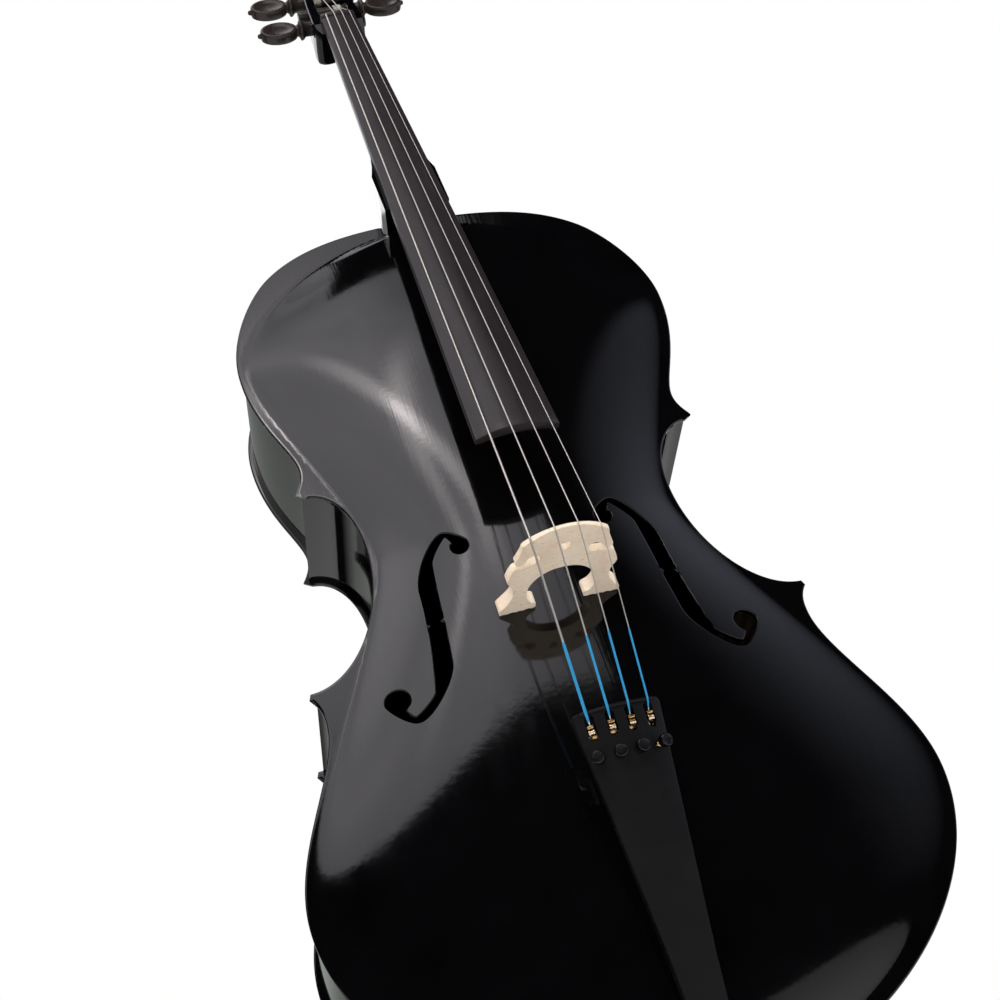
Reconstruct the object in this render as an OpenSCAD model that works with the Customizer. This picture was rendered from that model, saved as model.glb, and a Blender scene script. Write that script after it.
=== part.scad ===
// Full-size cello standing on its endpin.
// Z runs up the body, the front faces -Y and the A string is on the +X side.
// The origin is the bottom of the endpin tip, on the endpin's axis. Millimetres.

/* [Body] */
// Length of the body, without the button
body_length = 755; // [750:1:758]
// Widest part of the lower bout
lower_bout = 440; // [434:1:444]
// Narrowest part of the waist
waist = 235; // [232:1:238]
// Widest part of the upper bout
upper_bout = 351; // [346:1:354]
// Height of the ribs between the plates
rib_height = 116; // [112:1:120]
// Thickness of a rib
rib_wall = 1.8; // [1.5:0.1:2.2]
// How far the plates stand out past the ribs
overhang = 4; // [3:0.5:4.5]
// Thickness of both plates
plate_wall = 4.5; // [4:0.5:5]
// Rise of the front's arch above its edge
top_arch = 22; // [20:1:24]
// Rise of the back's arch above its edge
back_arch = 24; // [21:1:26]

/* [Neck and fingerboard] */
// Height of the nut above the top edge of the body
neck_length = 280; // [276:1:284]
// Lean of the fingerboard's crown back from the body
neck_angle = 8.7; // [8:0.1:9]
// Height of the fingerboard's free end above the front's edge
board_rise = 85; // [82:1:87]
// Length of the fingerboard
board_length = 580; // [575:1:585]
// Width of the fingerboard at the nut
board_nut_w = 32; // [30:0.5:33]
// Width of the fingerboard at its free end
board_end_w = 63; // [60:1:65]
// Radius of the fingerboard's crown
board_radius = 62; // [60:1:66]

/* [Strings] */
// Height of the bridge from its feet to its crown
bridge_height = 88; // [86:1:92]
// Distance from the bottom of the body to the middle of the bridge
bridge_place = 355; // [352:1:358]
// Distance from one string to the next at the bridge
bridge_spacing = 16.5; // [15:0.5:17]
// Distance from one string to the next at the nut
nut_spacing = 7.5; // [7:0.1:7.8]
// Distance from the bottom of the body to the top of the tailpiece
tailpiece_top = 238; // [235:1:240]
// Length of the tailpiece
tailpiece_length = 219; // [216:1:224]
// Width of the tailpiece at its top
tailpiece_w = 60; // [58:1:62]

/* [Fittings] */
// Distance from one tuning knob to the next
knob_pitch = 14; // [13.5:0.1:14]
// Diameter of a tuning knob
knob_d = 8.8; // [8:0.1:9.2]
// Diameter of the endpin rod
rod_d = 10; // [8:1:10]
// Length of the endpin rod
rod_length = 500; // [480:5:520]
// Height of the bottom of the body above the origin
endpin_out = 340; // [320:5:360]

/* [Hidden] */

$fn = 32;
tiny = 0.01;
run = 0.05;                            // radial clearance of a running fit
gap = 0.3;                             // free space between moving neighbours
lacquer = [0.02, 0.02, 0.025];
maple = [0.86, 0.77, 0.64];
spruce = [0.80, 0.66, 0.45];
ebony = [0.07, 0.06, 0.06];
steel = [0.75, 0.75, 0.76];
brass = [0.72, 0.55, 0.25];
composite = [0.13, 0.13, 0.14];
silk_blue = [0.10, 0.52, 0.80];

front_y = -(rib_height / 2 + plate_wall);  // plane of the front's outer edge
back_y = -front_y;
rib_y = front_y + plate_wall;              // plane between the front and the ribs
top_z = endpin_out + body_length;
nut_z = top_z + neck_length;

// ---- Outline: a chain of cubic curves through knots of [place, direction in, direction out]
function cubic(a, u, b, v, t) =
    (2*t*t*t - 3*t*t + 1) * a + (t*t*t - 2*t*t + t) * u + (3*t*t - 2*t*t*t) * b + (t*t*t - t*t) * v;
function chain(knots, n) = concat(
    [for (i = [0 : len(knots) - 2]) for (j = [0 : n - 1])
        cubic(knots[i][0], knots[i][2], knots[i + 1][0], knots[i + 1][1], j / n)],
    [knots[len(knots) - 1][0]]);
function mirrored(p) = [for (i = [len(p) - 1 : -1 : 0]) [-p[i][0], p[i][1]]];
function backwards(p) = [for (i = [len(p) - 1 : -1 : 0]) p[i]];
function unit(v) = v / norm(v);
// a path moved sideways, to its left when d is positive
function beside(p, d) = [for (i = [0 : len(p) - 1])
    let (a = p[max(i - 1, 0)], b = p[min(i + 1, len(p) - 1)], t = unit(b - a))
    p[i] + d * [-t[1], t[0]]];

lower_w = lower_bout / 2;
waist_w = waist / 2;
upper_w = upper_bout / 2;
lower_path = chain([
    [[0, 0], [1, 0], [330, 0]],
    [[lower_w, 175], [0, 270], [0, 150]],
    [[waist_w + 60, 309], [0, 105], [0, 26]],
    [[waist_w + 67, 331], [18, 22], [0, 0]]], 9);
waist_path = chain([
    [[waist_w + 65.5, 335], [0, 0], [-100, 1]],
    [[waist_w, 440], [0, 165], [0, 90]],
    [[waist_w + 33.5, 497], [63, 1], [0, 0]]], 10);
upper_path = chain([
    [[waist_w + 40, 501], [0, 0], [-13, 20]],
    [[upper_w - 25.8, 522], [0, 24], [0, 60]],
    [[upper_w, 626], [0, 160], [0, 110]],
    [[134, 719], [-52, 46], [-100, 88]],
    [[0, body_length], [-170, 0], [0, 0]]], 7);
half_outline = concat(lower_path, waist_path, upper_path);

// half width of the channel inside the edge, where the arch begins
channel_path = chain([
    [[0, 12], [1, 0], [300, 0]],
    [[lower_w - 12, 178], [0, 250], [0, 190]],
    [[waist_w - 12, 432], [0, 150], [0, 140]],
    [[upper_w - 12, 626], [0, 130], [0, 130]],
    [[0, body_length - 12], [-250, 0], [0, 0]]], 12);
function channel_w(z) = z <= 12 || z >= body_length - 12 ? 0.01 :
    lookup(z, [for (p = channel_path) [p[1], p[0]]]);
// share of the full rise at s, which runs from 0 at the channel to 1 at the middle
function swell(s, power, lead) = s <= 0 ? 0 : (1 - pow(1 - s, power)) * s / (s + lead) * (1 + lead);
function rise(x, z) =
    let (along = 1 - abs(z - body_length / 2) / (body_length / 2 - 12), across = 1 - abs(x) / channel_w(z))
    swell(along, 4.5, 0.04) * swell(across, 2.2, 0.06);

// ---- Plates
steps = [0, 0.18, 0.36, 0.54, 0.7, 0.83, 0.92, 1];
columns = concat([for (i = [len(steps) - 1 : -1 : 1]) -steps[i]], steps);

module plate(arch) {
    rows = [for (p = half_outline) if (p[0] > 1) p];
    across = len(columns);
    count = len(rows) * across;
    outer = [for (r = rows) for (s = columns) [s * r[0], -arch * rise(s * r[0], r[1]), r[1]]];
    inner = [for (p = outer) p + [0, plate_wall, 0]];
    function cell(i, j) = i * across + j;
    last = len(rows) - 1;
    faces = concat(
        [for (i = [0 : last - 1]) for (j = [0 : across - 2])
            each [[cell(i, j), cell(i + 1, j), cell(i + 1, j + 1)], [cell(i, j), cell(i + 1, j + 1), cell(i, j + 1)]]],
        [for (i = [0 : last - 1]) for (j = [0 : across - 2])
            each [[count + cell(i, j), count + cell(i + 1, j + 1), count + cell(i + 1, j)],
                  [count + cell(i, j), count + cell(i, j + 1), count + cell(i + 1, j + 1)]]],
        [for (i = [0 : last - 1])
            each [[cell(i, 0), count + cell(i, 0), count + cell(i + 1, 0)],
                  [cell(i, 0), count + cell(i + 1, 0), cell(i + 1, 0)],
                  [cell(i, across - 1), count + cell(i + 1, across - 1), count + cell(i, across - 1)],
                  [cell(i, across - 1), cell(i + 1, across - 1), count + cell(i + 1, across - 1)]]],
        [for (j = [0 : across - 2])
            each [[cell(0, j), cell(0, j + 1), count + cell(0, j + 1)],
                  [cell(0, j), count + cell(0, j + 1), count + cell(0, j)],
                  [cell(last, j), count + cell(last, j + 1), cell(last, j + 1)],
                  [cell(last, j), count + cell(last, j), count + cell(last, j + 1)]]]);
    polyhedron(concat(outer, inner), faces);
}

// draws a flat shape of [x, z] points as a slab between two y planes
module slab(y0, y1) {
    translate([0, y1, 0]) rotate([90, 0, 0]) linear_extrude(y1 - y0) children();
}

// f-hole of the +X side: two eyes joined by a curved stem
f_upper_eye = [53.5, 417];
f_lower_eye = [126, 309.5];
f_outer = chain([
    [[48.5, 419], [0, 0], [6, 22]],
    [[66, 432], [20, 0], [24, 0]],
    [[90, 386], [3, -55], [0, -30]],
    [[93, 357], [3, -26], [8, -42]],
    [[122, 298], [22, -14], [0, 0]]], 6);
f_inner = chain([
    [[133, 306], [0, 0], [-3, -16]],
    [[113, 292], [-16, 0], [-26, 2]],
    [[86, 338], [-2, 44], [-1, 24]],
    [[81, 362], [-2, 22], [-6, 46]],
    [[59.5, 424], [-14, 6], [0, 0]]], 6);

module f_hole() {
    polygon(concat(f_outer, f_inner));
    translate(f_upper_eye) circle(d = 11);
    translate(f_lower_eye) circle(d = 15);
}

module heel_foot(grow) {
    translate([0, 0, body_length - 12 - grow])
        linear_extrude(40)
            polygon([[-28 - grow, -1], [28 + grow, -1], [16 + grow, back_y - front_y - plate_wall],
                     [-16 - grow, back_y - front_y - plate_wall]]);
}

module top_plate() {
    color(lacquer) translate([0, front_y, endpin_out]) difference() {
        plate(top_arch);
        slab(-40, 20) f_hole();
        slab(-40, 20) mirror([1, 0]) f_hole();
        heel_foot(0);
        translate([-20, -10, -1]) cube([40, 30, 9]);
    }
}

module back_plate() {
    color(lacquer) translate([0, back_y, endpin_out]) union() {
        mirror([0, 1, 0]) plate(back_arch);
        translate([0, 0, body_length - 6]) slab(-plate_wall, 0) difference() {
            circle(r = 20);
            translate([-30, -60]) square([60, 59]);
        }
    }
}

// ---- Ribs, linings and blocks
module band(path, out, wall, y0, y1) {
    slab(y0, y1) polygon(concat(beside(path, out), backwards(beside(path, out + wall))));
}

lower_rib = [for (p = lower_path) if (p[1] < 326) p];
waist_rib = [for (p = waist_path) if (p[0] < waist_w + 52) p];
upper_rib = [for (p = upper_path) if (p[1] > 508 && p[0] > 24) p];

module rib(path, side) {
    color(lacquer) translate([0, 0, endpin_out]) scale([side, 1, 1])
        difference() {
            band(path, overhang, rib_wall, rib_y, -rib_y);
            translate([0, front_y, 0]) heel_foot(0);
            translate([-80, rib_y - 1, -20]) cube([80, rib_height + 2, 60]);
            cylinder(h = 40, r = socket_r);
        }
}

module linings() {
    color(spruce) for (side = [-1, 1]) scale([side, 1, 1])
        for (path = [[for (p = lower_path) if (p[1] < 298 && p[0] > 60) p],
                     [for (p = waist_path) if (p[1] > 386 && p[1] < 446) p],
                     [for (p = upper_path) if (p[1] > 540 && p[0] > 70) p]])
            for (y = [rib_y, -rib_y - 18])
                translate([0, 0, endpin_out]) band(path, overhang + rib_wall, 2.5, y, y + 18);
}

// each corner block fills the corner between the inner faces of two ribs
inside = overhang + rib_wall;
module corner_blocks() {
    low = [for (p = beside(lower_path, inside)) if (p[1] > 302 && p[1] < 322) p];
    low_waist = [for (p = beside(waist_path, inside)) if (p[0] > waist_w + 10 && p[1] < 380 && p[0] < waist_w + 48) p];
    high_waist = [for (p = beside(waist_path, inside)) if (p[0] > waist_w + 6 && p[1] > 450 && p[0] < waist_w + 22) p];
    high = [for (p = beside(upper_path, inside)) if (p[1] > 512 && p[1] < 530) p];
    color(spruce) for (side = [-1, 1]) translate([0, 0, endpin_out]) scale([side, 1, 1])
        slab(rib_y, -rib_y) difference() {
            union() {
                polygon(concat(low, low_waist));
                polygon(concat(high_waist, high));
            }
            for (p = [lower_path, waist_path, upper_path, lower_rib, waist_rib, upper_rib])
                polygon(concat(p, backwards(beside(p, inside))));
        }
}

block_top = [for (p = beside(upper_path, inside)) if (p[0] > 1 && p[0] < 58) p];
block_end = [for (p = beside(lower_path, inside)) if (p[0] > 1 && p[0] < 50) p];

module neck_block() {
    color(spruce) translate([0, 0, endpin_out]) difference() {
        slab(rib_y, -rib_y)
            polygon(concat([[-58, body_length - 50], [58, body_length - 50]], block_top, mirrored(block_top)));
        translate([0, front_y, 0]) heel_foot(0);
    }
}

module end_block() {
    color(spruce) translate([0, 0, endpin_out]) difference() {
        slab(rib_y, -rib_y) polygon(concat([[50, 36], [-50, 36]], mirrored(block_end), block_end));
        translate([0, 0, -10]) cylinder(h = 60, r = socket_r);
    }
}

module bass_bar() {
    under = [for (z = [95 : 40 : 655]) [z, front_y + plate_wall + 0.2 - top_arch * rise(-24, z)]];
    depth = [for (z = [655 : -40 : 95]) [z, front_y + plate_wall - top_arch * rise(-24, z)
        + 4 + 20 * (1 - pow(abs(z - 375) / 280, 2))]];
    color(spruce) translate([-30, 0, endpin_out])
        rotate([90, 0, 90]) linear_extrude(12)
            polygon([for (p = concat(under, depth)) [p[1], p[0]]]);
}

post_x = 22;
post_z = 337;
module sound_post() {
    front_end = front_y + plate_wall - top_arch * rise(post_x, post_z) - 0.4;
    back_end = back_y - plate_wall + back_arch * rise(post_x, post_z) + 0.4;
    color(spruce) translate([post_x, back_end, endpin_out + post_z])
        rotate([90, 0, 0]) cylinder(h = back_end - front_end, d = 11);
}

// ---- Neck, pegbox and scroll
board_end_z = endpin_out + 462;
function crown_y(z) = front_y - board_rise + tan(neck_angle) * (z - board_end_z);
board_edge = 6;                        // thickness of the fingerboard at its sides
function board_w(z) = board_nut_w + (board_end_w - board_nut_w) * (nut_z - z) / (nut_z - board_end_z);
function sagitta(w) = board_radius - sqrt(pow(board_radius, 2) - w * w / 4);
function glue_at(z) = crown_y(z) + sagitta(board_w(z)) + board_edge;
// flat glue face between the neck and the fingerboard
function glue_y(z) = glue_at(board_end_z)
    + (glue_at(nut_z) - glue_at(board_end_z)) * (z - board_end_z) / (nut_z - board_end_z);

module fingerboard() {
    function ring(z) = let (w = board_w(z), reach = asin(w / 2 / board_radius)) concat(
        [for (a = [-reach : reach / 5 : reach + 0.001])
            [board_radius * sin(a), crown_y(z) + board_radius * (1 - cos(a)), z]],
        [[w / 2, glue_y(z), z], [-w / 2, glue_y(z), z]]);
    low = ring(board_end_z);
    high = ring(nut_z - tiny);
    n = len(low);
    color(ebony) polyhedron(concat(low, high), concat(
        [[for (i = [n - 1 : -1 : 0]) i]], [[for (i = [0 : n - 1]) n + i]],
        [for (i = [0 : n - 1]) let (j = (i + 1) % n) each [[i, j, n + j], [i, n + j, n + i]]]));
}

// places a child in the pegbox's frame: its origin at the nut's foot, leaning back
head_lean = 14;
module in_head() {
    translate([0, glue_y(nut_z), nut_z]) rotate([-head_lean, 0, 0]) children();
}

// [side, height above the nut] of each peg, and its depth behind the pegbox's front
pegs = [[-1, 24], [-1, 78], [1, 105], [1, 51]];
peg_depth = 15;
peg_taper = 1 / 30;
peg_mid_r = 6.2;                       // radius of a peg on the pegbox's middle
shaft_from = -30;
shaft_to = 29;

module along_peg(k) {
    translate([0, peg_depth, pegs[k][1]]) rotate([0, 90 * pegs[k][0], 0]) children();
}
// tapered shaft, thick towards the peg's head
module peg_cone(from, to, grow) {
    translate([0, 0, from])
        cylinder(h = to - from, r1 = peg_mid_r + from * peg_taper / 2 + grow, r2 = peg_mid_r + to * peg_taper / 2 + grow);
}

module head_profile() {
    polygon([[-0.5, -16], [-0.5, 128], [-3, 140], [-7, 150], [30, 160], [32, 140], [30, 120], [34, 60], [39, 10],
             [38, -8], [31, -20], [20, -24]]);
}

module pegbox_front() {
    polygon([[-16, -26], [-23, -14], [-24.5, 4], [-23, 40], [-16, 140], [-14, 165],
             [14, 165], [16, 140], [23, 40], [24.5, 4], [23, -14], [16, -26]]);
}

scroll_at = [14, 158];                 // [depth, height] of the scroll's eye
module scroll() {
    for (side = [-1, 1]) for (k = [0 : 3])
        translate([side > 0 ? 4 + 7 * k - (k > 0 ? 0.01 : 4) : -11 - 7 * k, scroll_at[0], scroll_at[1]])
            rotate([90, 0, 90]) linear_extrude(k == 0 ? 11 : 7.01)
                circle(r = [27, 20, 14.5, 9][k], $fn = 40);
}

module neck_shaft() {
    z0 = top_z + 6;
    z1 = nut_z - 6;
    hull() for (z = [z0, z1]) translate([0, glue_y(z), z])
        linear_extrude(0.1) scale([board_w(z) / 2, z == z0 ? 26 : 22]) difference() {
            circle(r = 1, $fn = 32);
            translate([-2, -4]) square([4, 4]);
        }
}

heel = chain([
    [[back_y, top_z + 13], [0, 0], [-50, 12]],
    [[glue_y(top_z + 60) + 25, top_z + 60], [-6, 60], [0, 0]]], 8);

module neck() {
    color(lacquer) difference() {
        union() {
            neck_shaft();
            intersection() {
                rotate([90, 0, 90]) translate([0, 0, -30]) linear_extrude(60)
                    polygon(concat([[glue_y(top_z + 60), top_z + 60], [glue_y(top_z - 12), top_z - 12],
                                    [back_y - plate_wall, top_z - 12], [back_y - plate_wall, top_z + 13]],
                                   [for (p = heel) if (p[0] < back_y - plate_wall) p]));
                translate([0, front_y, top_z - 20]) linear_extrude(90)
                    polygon([[-28, -60], [28, -60], [28, -1], [16, back_y - front_y - plate_wall],
                             [-16, back_y - front_y - plate_wall], [-28, -1]]);
            }
            in_head() intersection() {
                rotate([90, 0, 90]) translate([0, 0, -30]) linear_extrude(60) head_profile();
                rotate([90, 0, 0]) translate([0, 0, -60]) linear_extrude(80) pegbox_front();
            }
            in_head() scroll();
        }
        in_head() intersection() {
            rotate([90, 0, 90]) translate([0, 0, -30]) linear_extrude(60)
                polygon([[-10, 10], [-10, 118], [4, 124], [22, 112], [25, 60], [27, 16], [22, 12]]);
            rotate([90, 0, 0]) translate([0, 0, -60]) linear_extrude(80)
                polygon([[-15, 8], [-15, 40], [-10, 126], [10, 126], [15, 40], [15, 8]]);
        }
        in_head() for (k = [0 : 3]) along_peg(k) peg_cone(-40, 40, run);
        rotate([90, 0, 90]) translate([0, 0, -40]) linear_extrude(80)
            polygon([[-200, board_end_z], [glue_y(board_end_z), board_end_z], [glue_y(nut_z), nut_z],
                     [glue_y(nut_z) + 1, nut_z + 8], [-200, nut_z + 8]]);
    }
}

module nut() {
    color(ebony) intersection() {
        rotate([90, 0, 90]) translate([0, 0, -16]) linear_extrude(32)
            polygon([[glue_y(nut_z), nut_z], [crown_y(nut_z) - 2, nut_z], [crown_y(nut_z), nut_z + 6],
                     [glue_y(nut_z) + 1, nut_z + 8]]);
        translate([0, crown_y(nut_z) + board_radius - 1.4, nut_z - 1]) cylinder(h = 12, r = board_radius, $fn = 96);
    }
}

module saddle() {
    color(ebony) translate([-20, front_y, endpin_out - 1])
        rotate([90, 0, 90]) linear_extrude(40)
            polygon([[0, 1], [-6, 0], [-9.5, 2.5], [-9.5, 5], [-5, 8.99], [plate_wall, 8.99], [plate_wall, 1]]);
}

// ---- Bridge, drawn as [across, height above the front's edge]
crown_r = 42;                          // radius of the bridge's crown
crown_h = top_arch + bridge_height;
foot_h = top_arch * 0.96;              // height of the feet's inner corners
foot_out_h = top_arch * 0.84;          // height of the feet's outer corners

// half of the bridge's sides below its crown, from the crown down to the ankle
bridge_side = [[31.5, 120], [31, 96], [34.6, 81], [33.5, 77.7], [30, 77.7], [30, 75.3], [36, 72.5], [39, 64],
               [39.4, 57.5], [35.5, 52]];
bridge_leg = [[0, 54], [35.5, 54], [34.6, 44], [38, 33], [43, 27], [44.6, 24.5], [43, foot_out_h], [17.5, foot_h],
              [17.5, 30]];
bridge_arch = [[17.5, 10], [17.5, 26.6], [20.5, 28.2], [24, 32], [25, 38.5], [24.6, 45], [21.5, 52.5], [15.5, 59.5],
               [8, 63.4]];

module bridge_outline() {
    difference() {
        union() {
            intersection() {
                translate([0, crown_h - crown_r]) circle(r = crown_r, $fn = 96);
                polygon(concat(bridge_side, mirrored(bridge_side)));
            }
            for (side = [-1, 1]) scale([side, 1]) polygon(bridge_leg);
        }
        polygon(concat(bridge_arch, mirrored(bridge_arch)));
        translate([0, 89]) circle(r = 5);
        translate([-1.6, 91]) square([3.2, 8]);
        for (side = [-1, 1]) scale([side, 1]) {
            translate([22.5, 80.5]) circle(r = 4.2);
            translate([22.5, 75.3]) square([20, 2.4]);
        }
    }
}

module bridge() {
    color(maple) translate([0, front_y, endpin_out + bridge_place]) intersection() {
        translate([0, 0, -12]) mirror([0, 1, 0]) linear_extrude(24) bridge_outline();
        rotate([90, 0, 90]) translate([0, 0, -60]) linear_extrude(120)
            polygon([[-15, -5.5], [-36, -5.5], [-crown_h - 1, -1.5], [-crown_h - 1, 1.5], [-36, 5.5], [-15, 5.5]]);
    }
}

// ---- Tailpiece and its fine tuners
tail_lean = 12.5;                      // lean of the tailpiece
tail_rise = 72;                        // height of its fret above the front's edge
tail_radius = 62;                      // radius of the tailpiece's crown
tail_at = [0, front_y - tail_rise, endpin_out + tailpiece_top];
module in_tail() {
    translate(tail_at) rotate([tail_lean, 0, 0]) children();
}
tuner_turn = [for (k = [-1.5 : 1.5]) asin(k * knob_pitch / tail_radius)];
// each tuner is drawn at the crown's middle and swung round the crown's axis
module in_tuner(k) {
    in_tail() translate([0, tail_radius, 0]) rotate([0, 0, tuner_turn[k]]) translate([0, -tail_radius, 0]) children();
}
skin_y = 1.5;                          // depth of the tailpiece's crown below the fret
pocket_y = 6.2;                        // depth of the ceiling over the tuner levers
belly_side_y = 13;                     // depth of the tailpiece's underside
pivot = [9.5, -14.5];                   // [depth, height] of a tuner's pivot pin
screw_z = -30.5;                       // height of a tuner's screw
lever_arm = pivot[1] - screw_z;
tuner_set = [0, 0, 0, -1.8];           // how far each screw is turned in, from the middle
screw_r = 1.75;
lever_t = 4.6;                         // thickness of a tuner lever

module tailpiece_outline() {
    w = tailpiece_w / 2;
    end = 2 - tailpiece_length;
    polygon([[-w + 1.5, 2], [-w, 0.5], [-w, -4], [-w + 4, -40], [-14, end + 50], [-11, end + 8], [-6, end],
             [6, end], [11, end + 8], [14, end + 50], [w - 4, -40], [w, -4], [w, 0.5], [w - 1.5, 2]]);
}

module tailpiece() {
    color(composite) difference() {
        union() {
            in_tail() difference() {
                intersection() {
                    slab(0, belly_side_y) tailpiece_outline();
                    translate([0, tail_radius + skin_y, -tailpiece_length]) cylinder(h = 240, r = tail_radius, $fn = 96);
                }
                intersection() {
                    translate([-26, 0, -42.5]) cube([52, 30, 39]);
                    translate([0, tail_radius + skin_y, -60])
                        cylinder(h = 60, r = tail_radius + skin_y - pocket_y, $fn = 96);
                }
                for (side = [-1, 1]) translate([side * 6, 7, -tailpiece_length]) cylinder(h = 22, r = 1.85);
            }
            for (k = [0 : 3]) in_tuner(k) for (side = [-1, 1])
                translate([side * 3.9 - 1.2, pocket_y - 1, pivot[1] - 2.5]) cube([2.4, 6, 5]);
        }
        for (k = [0 : 3]) in_tuner(k) {
            translate([-lever_t / 2 - 0.4, -8, -18.5]) cube([lever_t + 0.8, 30, 16.5]);
            translate([0, 12, screw_z]) rotate([90, 0, 0]) cylinder(h = 30, r = screw_r + run);
        }
    }
}

module tailpiece_fret() {
    color(composite) in_tail() intersection() {
        translate([0, tail_radius, -1.3]) cylinder(h = 2.6, r = tail_radius, $fn = 96);
        translate([-tailpiece_w / 2 + 4, -1, -1.3]) cube([tailpiece_w - 8, 7.4, 2.6]);
        translate([0, 0, -1.3]) difference() {
            translate([-40, -5, 0]) cube([80, 30, 3]);
            translate([0, tail_radius + skin_y, -1]) cylinder(h = 6, r = tail_radius, $fn = 96);
        }
    }
}

module tuner_pins() {
    color(steel) for (k = [0 : 3]) in_tuner(k)
        translate([-4.8, pivot[0], pivot[1]]) rotate([0, 90, 0]) cylinder(h = 9.6, r = 1);
}

// swings a child about the pivot pin to where the screw has set it
module in_lever(k) {
    in_tuner(k) translate([0, pivot[0], pivot[1]]) rotate([tuner_set[k] / lever_arm * 180 / PI, 0, 0])
        translate([0, -pivot[0], -pivot[1]]) children();
}
screw_tip = 10.3;
module tuner_lever(k) {
    color(brass) in_lever(k) difference() {
        rotate([90, 0, 90]) translate([0, 0, -lever_t / 2]) linear_extrude(lever_t)
            polygon([[0.6, -7.5], [0.6, -10.5], [6, -10.9], [6, -16], [8, -18], [10.6, -19.5], [11, -36.5], [12.6, -36.5],
                     [12.6, -19.5], [12.2, -12.5], [9, -10.5], [7, -7.5]]);
        translate([-1.4, -1, -11.5]) cube([2.8, 6.2, 5]);
        translate([-5, pivot[0], pivot[1]]) rotate([0, 90, 0]) cylinder(h = 10, r = 1 + run);
    }
}
ball_at = [3.2, -12.9];
module ball_end(k) {
    color(brass) in_lever(k) translate([-2.2, ball_at[0], ball_at[1]]) rotate([0, 90, 0]) cylinder(h = 4.4, r = 2.2);
}
knob_h = 5.5;
module tuner_screw(k) {
    color(brass) in_tuner(k) translate([0, screw_tip + tuner_set[k], screw_z])
        rotate([90, 0, 0]) cylinder(h = screw_tip + 5, r = screw_r);
}
module tuner_knob(k) {
    color(ebony) in_tuner(k) translate([0, tuner_set[k] - 0.8, screw_z]) rotate([90, 0, 0]) difference() {
        cylinder(h = knob_h, d = knob_d);
        translate([0, 0, -1]) cylinder(h = 5.4, r = screw_r + run);
    }
}

// ---- Strings. A point in the pegbox's, tailpiece's or body's frame, in the part's own
function from_head(p) = [p[0], glue_y(nut_z) + p[1] * cos(head_lean) + p[2] * sin(head_lean),
                         nut_z - p[1] * sin(head_lean) + p[2] * cos(head_lean)];
function from_tuner(k, p) =
    let (x = -(p[1] - tail_radius) * sin(tuner_turn[k]), y = tail_radius + (p[1] - tail_radius) * cos(tuner_turn[k]))
    tail_at + [x, y * cos(tail_lean) - p[2] * sin(tail_lean), y * sin(tail_lean) + p[2] * cos(tail_lean)];
string_r = [0.8, 0.6, 0.5, 0.4];
winding_from = [4, 2, 0.5, 4];
winding_w = 9;
function shaft_r(k) = peg_mid_r + (winding_from[k] + winding_w / 2) * peg_taper / 2;
function wound_r(k) = shaft_r(k) + 2 * string_r[k] + 0.1;
function nut_x(k) = (k - 1.5) * nut_spacing;
function bridge_x(k) = (k - 1.5) * bridge_spacing;
function on_crown(r, x) = r - sqrt(r * r - x * x);

function string_route(k) = [
    from_head([pegs[k][0] * (winding_from[k] + 1), peg_depth - wound_r(k) - gap - string_r[k], pegs[k][1] - 1]),
    [nut_x(k), crown_y(nut_z) - 1.2 + on_crown(board_radius, nut_x(k)) - string_r[k] * 0.5, nut_z + 2],
    [bridge_x(k), front_y - crown_h + on_crown(crown_r, bridge_x(k)) - string_r[k] * 0.4, endpin_out + bridge_place],
    from_tuner(k, [0, -string_r[k] * 0.8, 0]),
    from_tuner(k, [0, 3, -8.5])];

module rod_between(a, b, r) {
    v = b - a;
    translate(a) rotate([0, acos(v[2] / norm(v)), atan2(v[1], v[0])]) cylinder(h = norm(v), r = r, $fn = 16);
}
// round wire swept along a route, mitred at its bends; side is a direction the route never takes
module tube(route, r, sides, side) {
    last = len(route) - 1;
    rings = [for (i = [0 : last])
        let (before = unit(route[max(i, 1)] - route[max(i, 1) - 1]),
             after = unit(route[min(i, last - 1) + 1] - route[min(i, last - 1)]),
             along = unit(before + after), u = unit(cross(along, side)), v = cross(along, u))
        for (a = [0 : 360 / sides : 359]) route[i] + r * (cos(a) * u + sin(a) * v)];
    polyhedron(rings, concat(
        [[for (j = [0 : sides - 1]) j]],
        [[for (j = [sides - 1 : -1 : 0]) last * sides + j]],
        [for (i = [0 : last - 1]) for (j = [0 : sides - 1]) let (k = (j + 1) % sides)
            each [[i * sides + j, (i + 1) * sides + j, (i + 1) * sides + k],
                  [i * sides + j, (i + 1) * sides + k, i * sides + k]]]));
}
module wire(k) {
    color(steel) tube(string_route(k), string_r[k], 12, [1, 0, 0]);
}
silk_length = 48;
module string_silk() {
    color(silk_blue) for (k = [0 : 3]) {
        route = string_route(k);
        toward = unit(route[2] - route[3]);
        difference() {
            rod_between(route[3] + toward * 3, route[3] + toward * silk_length, string_r[k] + 0.25);
            rod_between(route[3], route[3] + toward * (silk_length + 5), string_r[k]);
        }
    }
}
module winding(k) {
    color(steel) in_head() along_peg(k) difference() {
        translate([0, 0, winding_from[k]]) cylinder(h = winding_w, r = wound_r(k));
        peg_cone(-1, 20, 0);
    }
}
module peg(k) {
    color(ebony) in_head() along_peg(k) union() {
        peg_cone(shaft_from, shaft_to, 0);
        translate([0, 0, shaft_to - tiny]) cylinder(h = 3, r1 = 7.5, r2 = 9.5);
        translate([0, 0, shaft_to + 3 - 2 * tiny]) cylinder(h = 2, r = 9.5);
        translate([0, 0, shaft_to + 4]) cylinder(h = 8, r1 = 7, r2 = 4.5);
        translate([0, 5, shaft_to + 25]) rotate([90, 0, 0]) cylinder(h = 10, r = 16.5);
        translate([0, 0, shaft_to + 42]) sphere(r = 2.4);
    }
}

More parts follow.
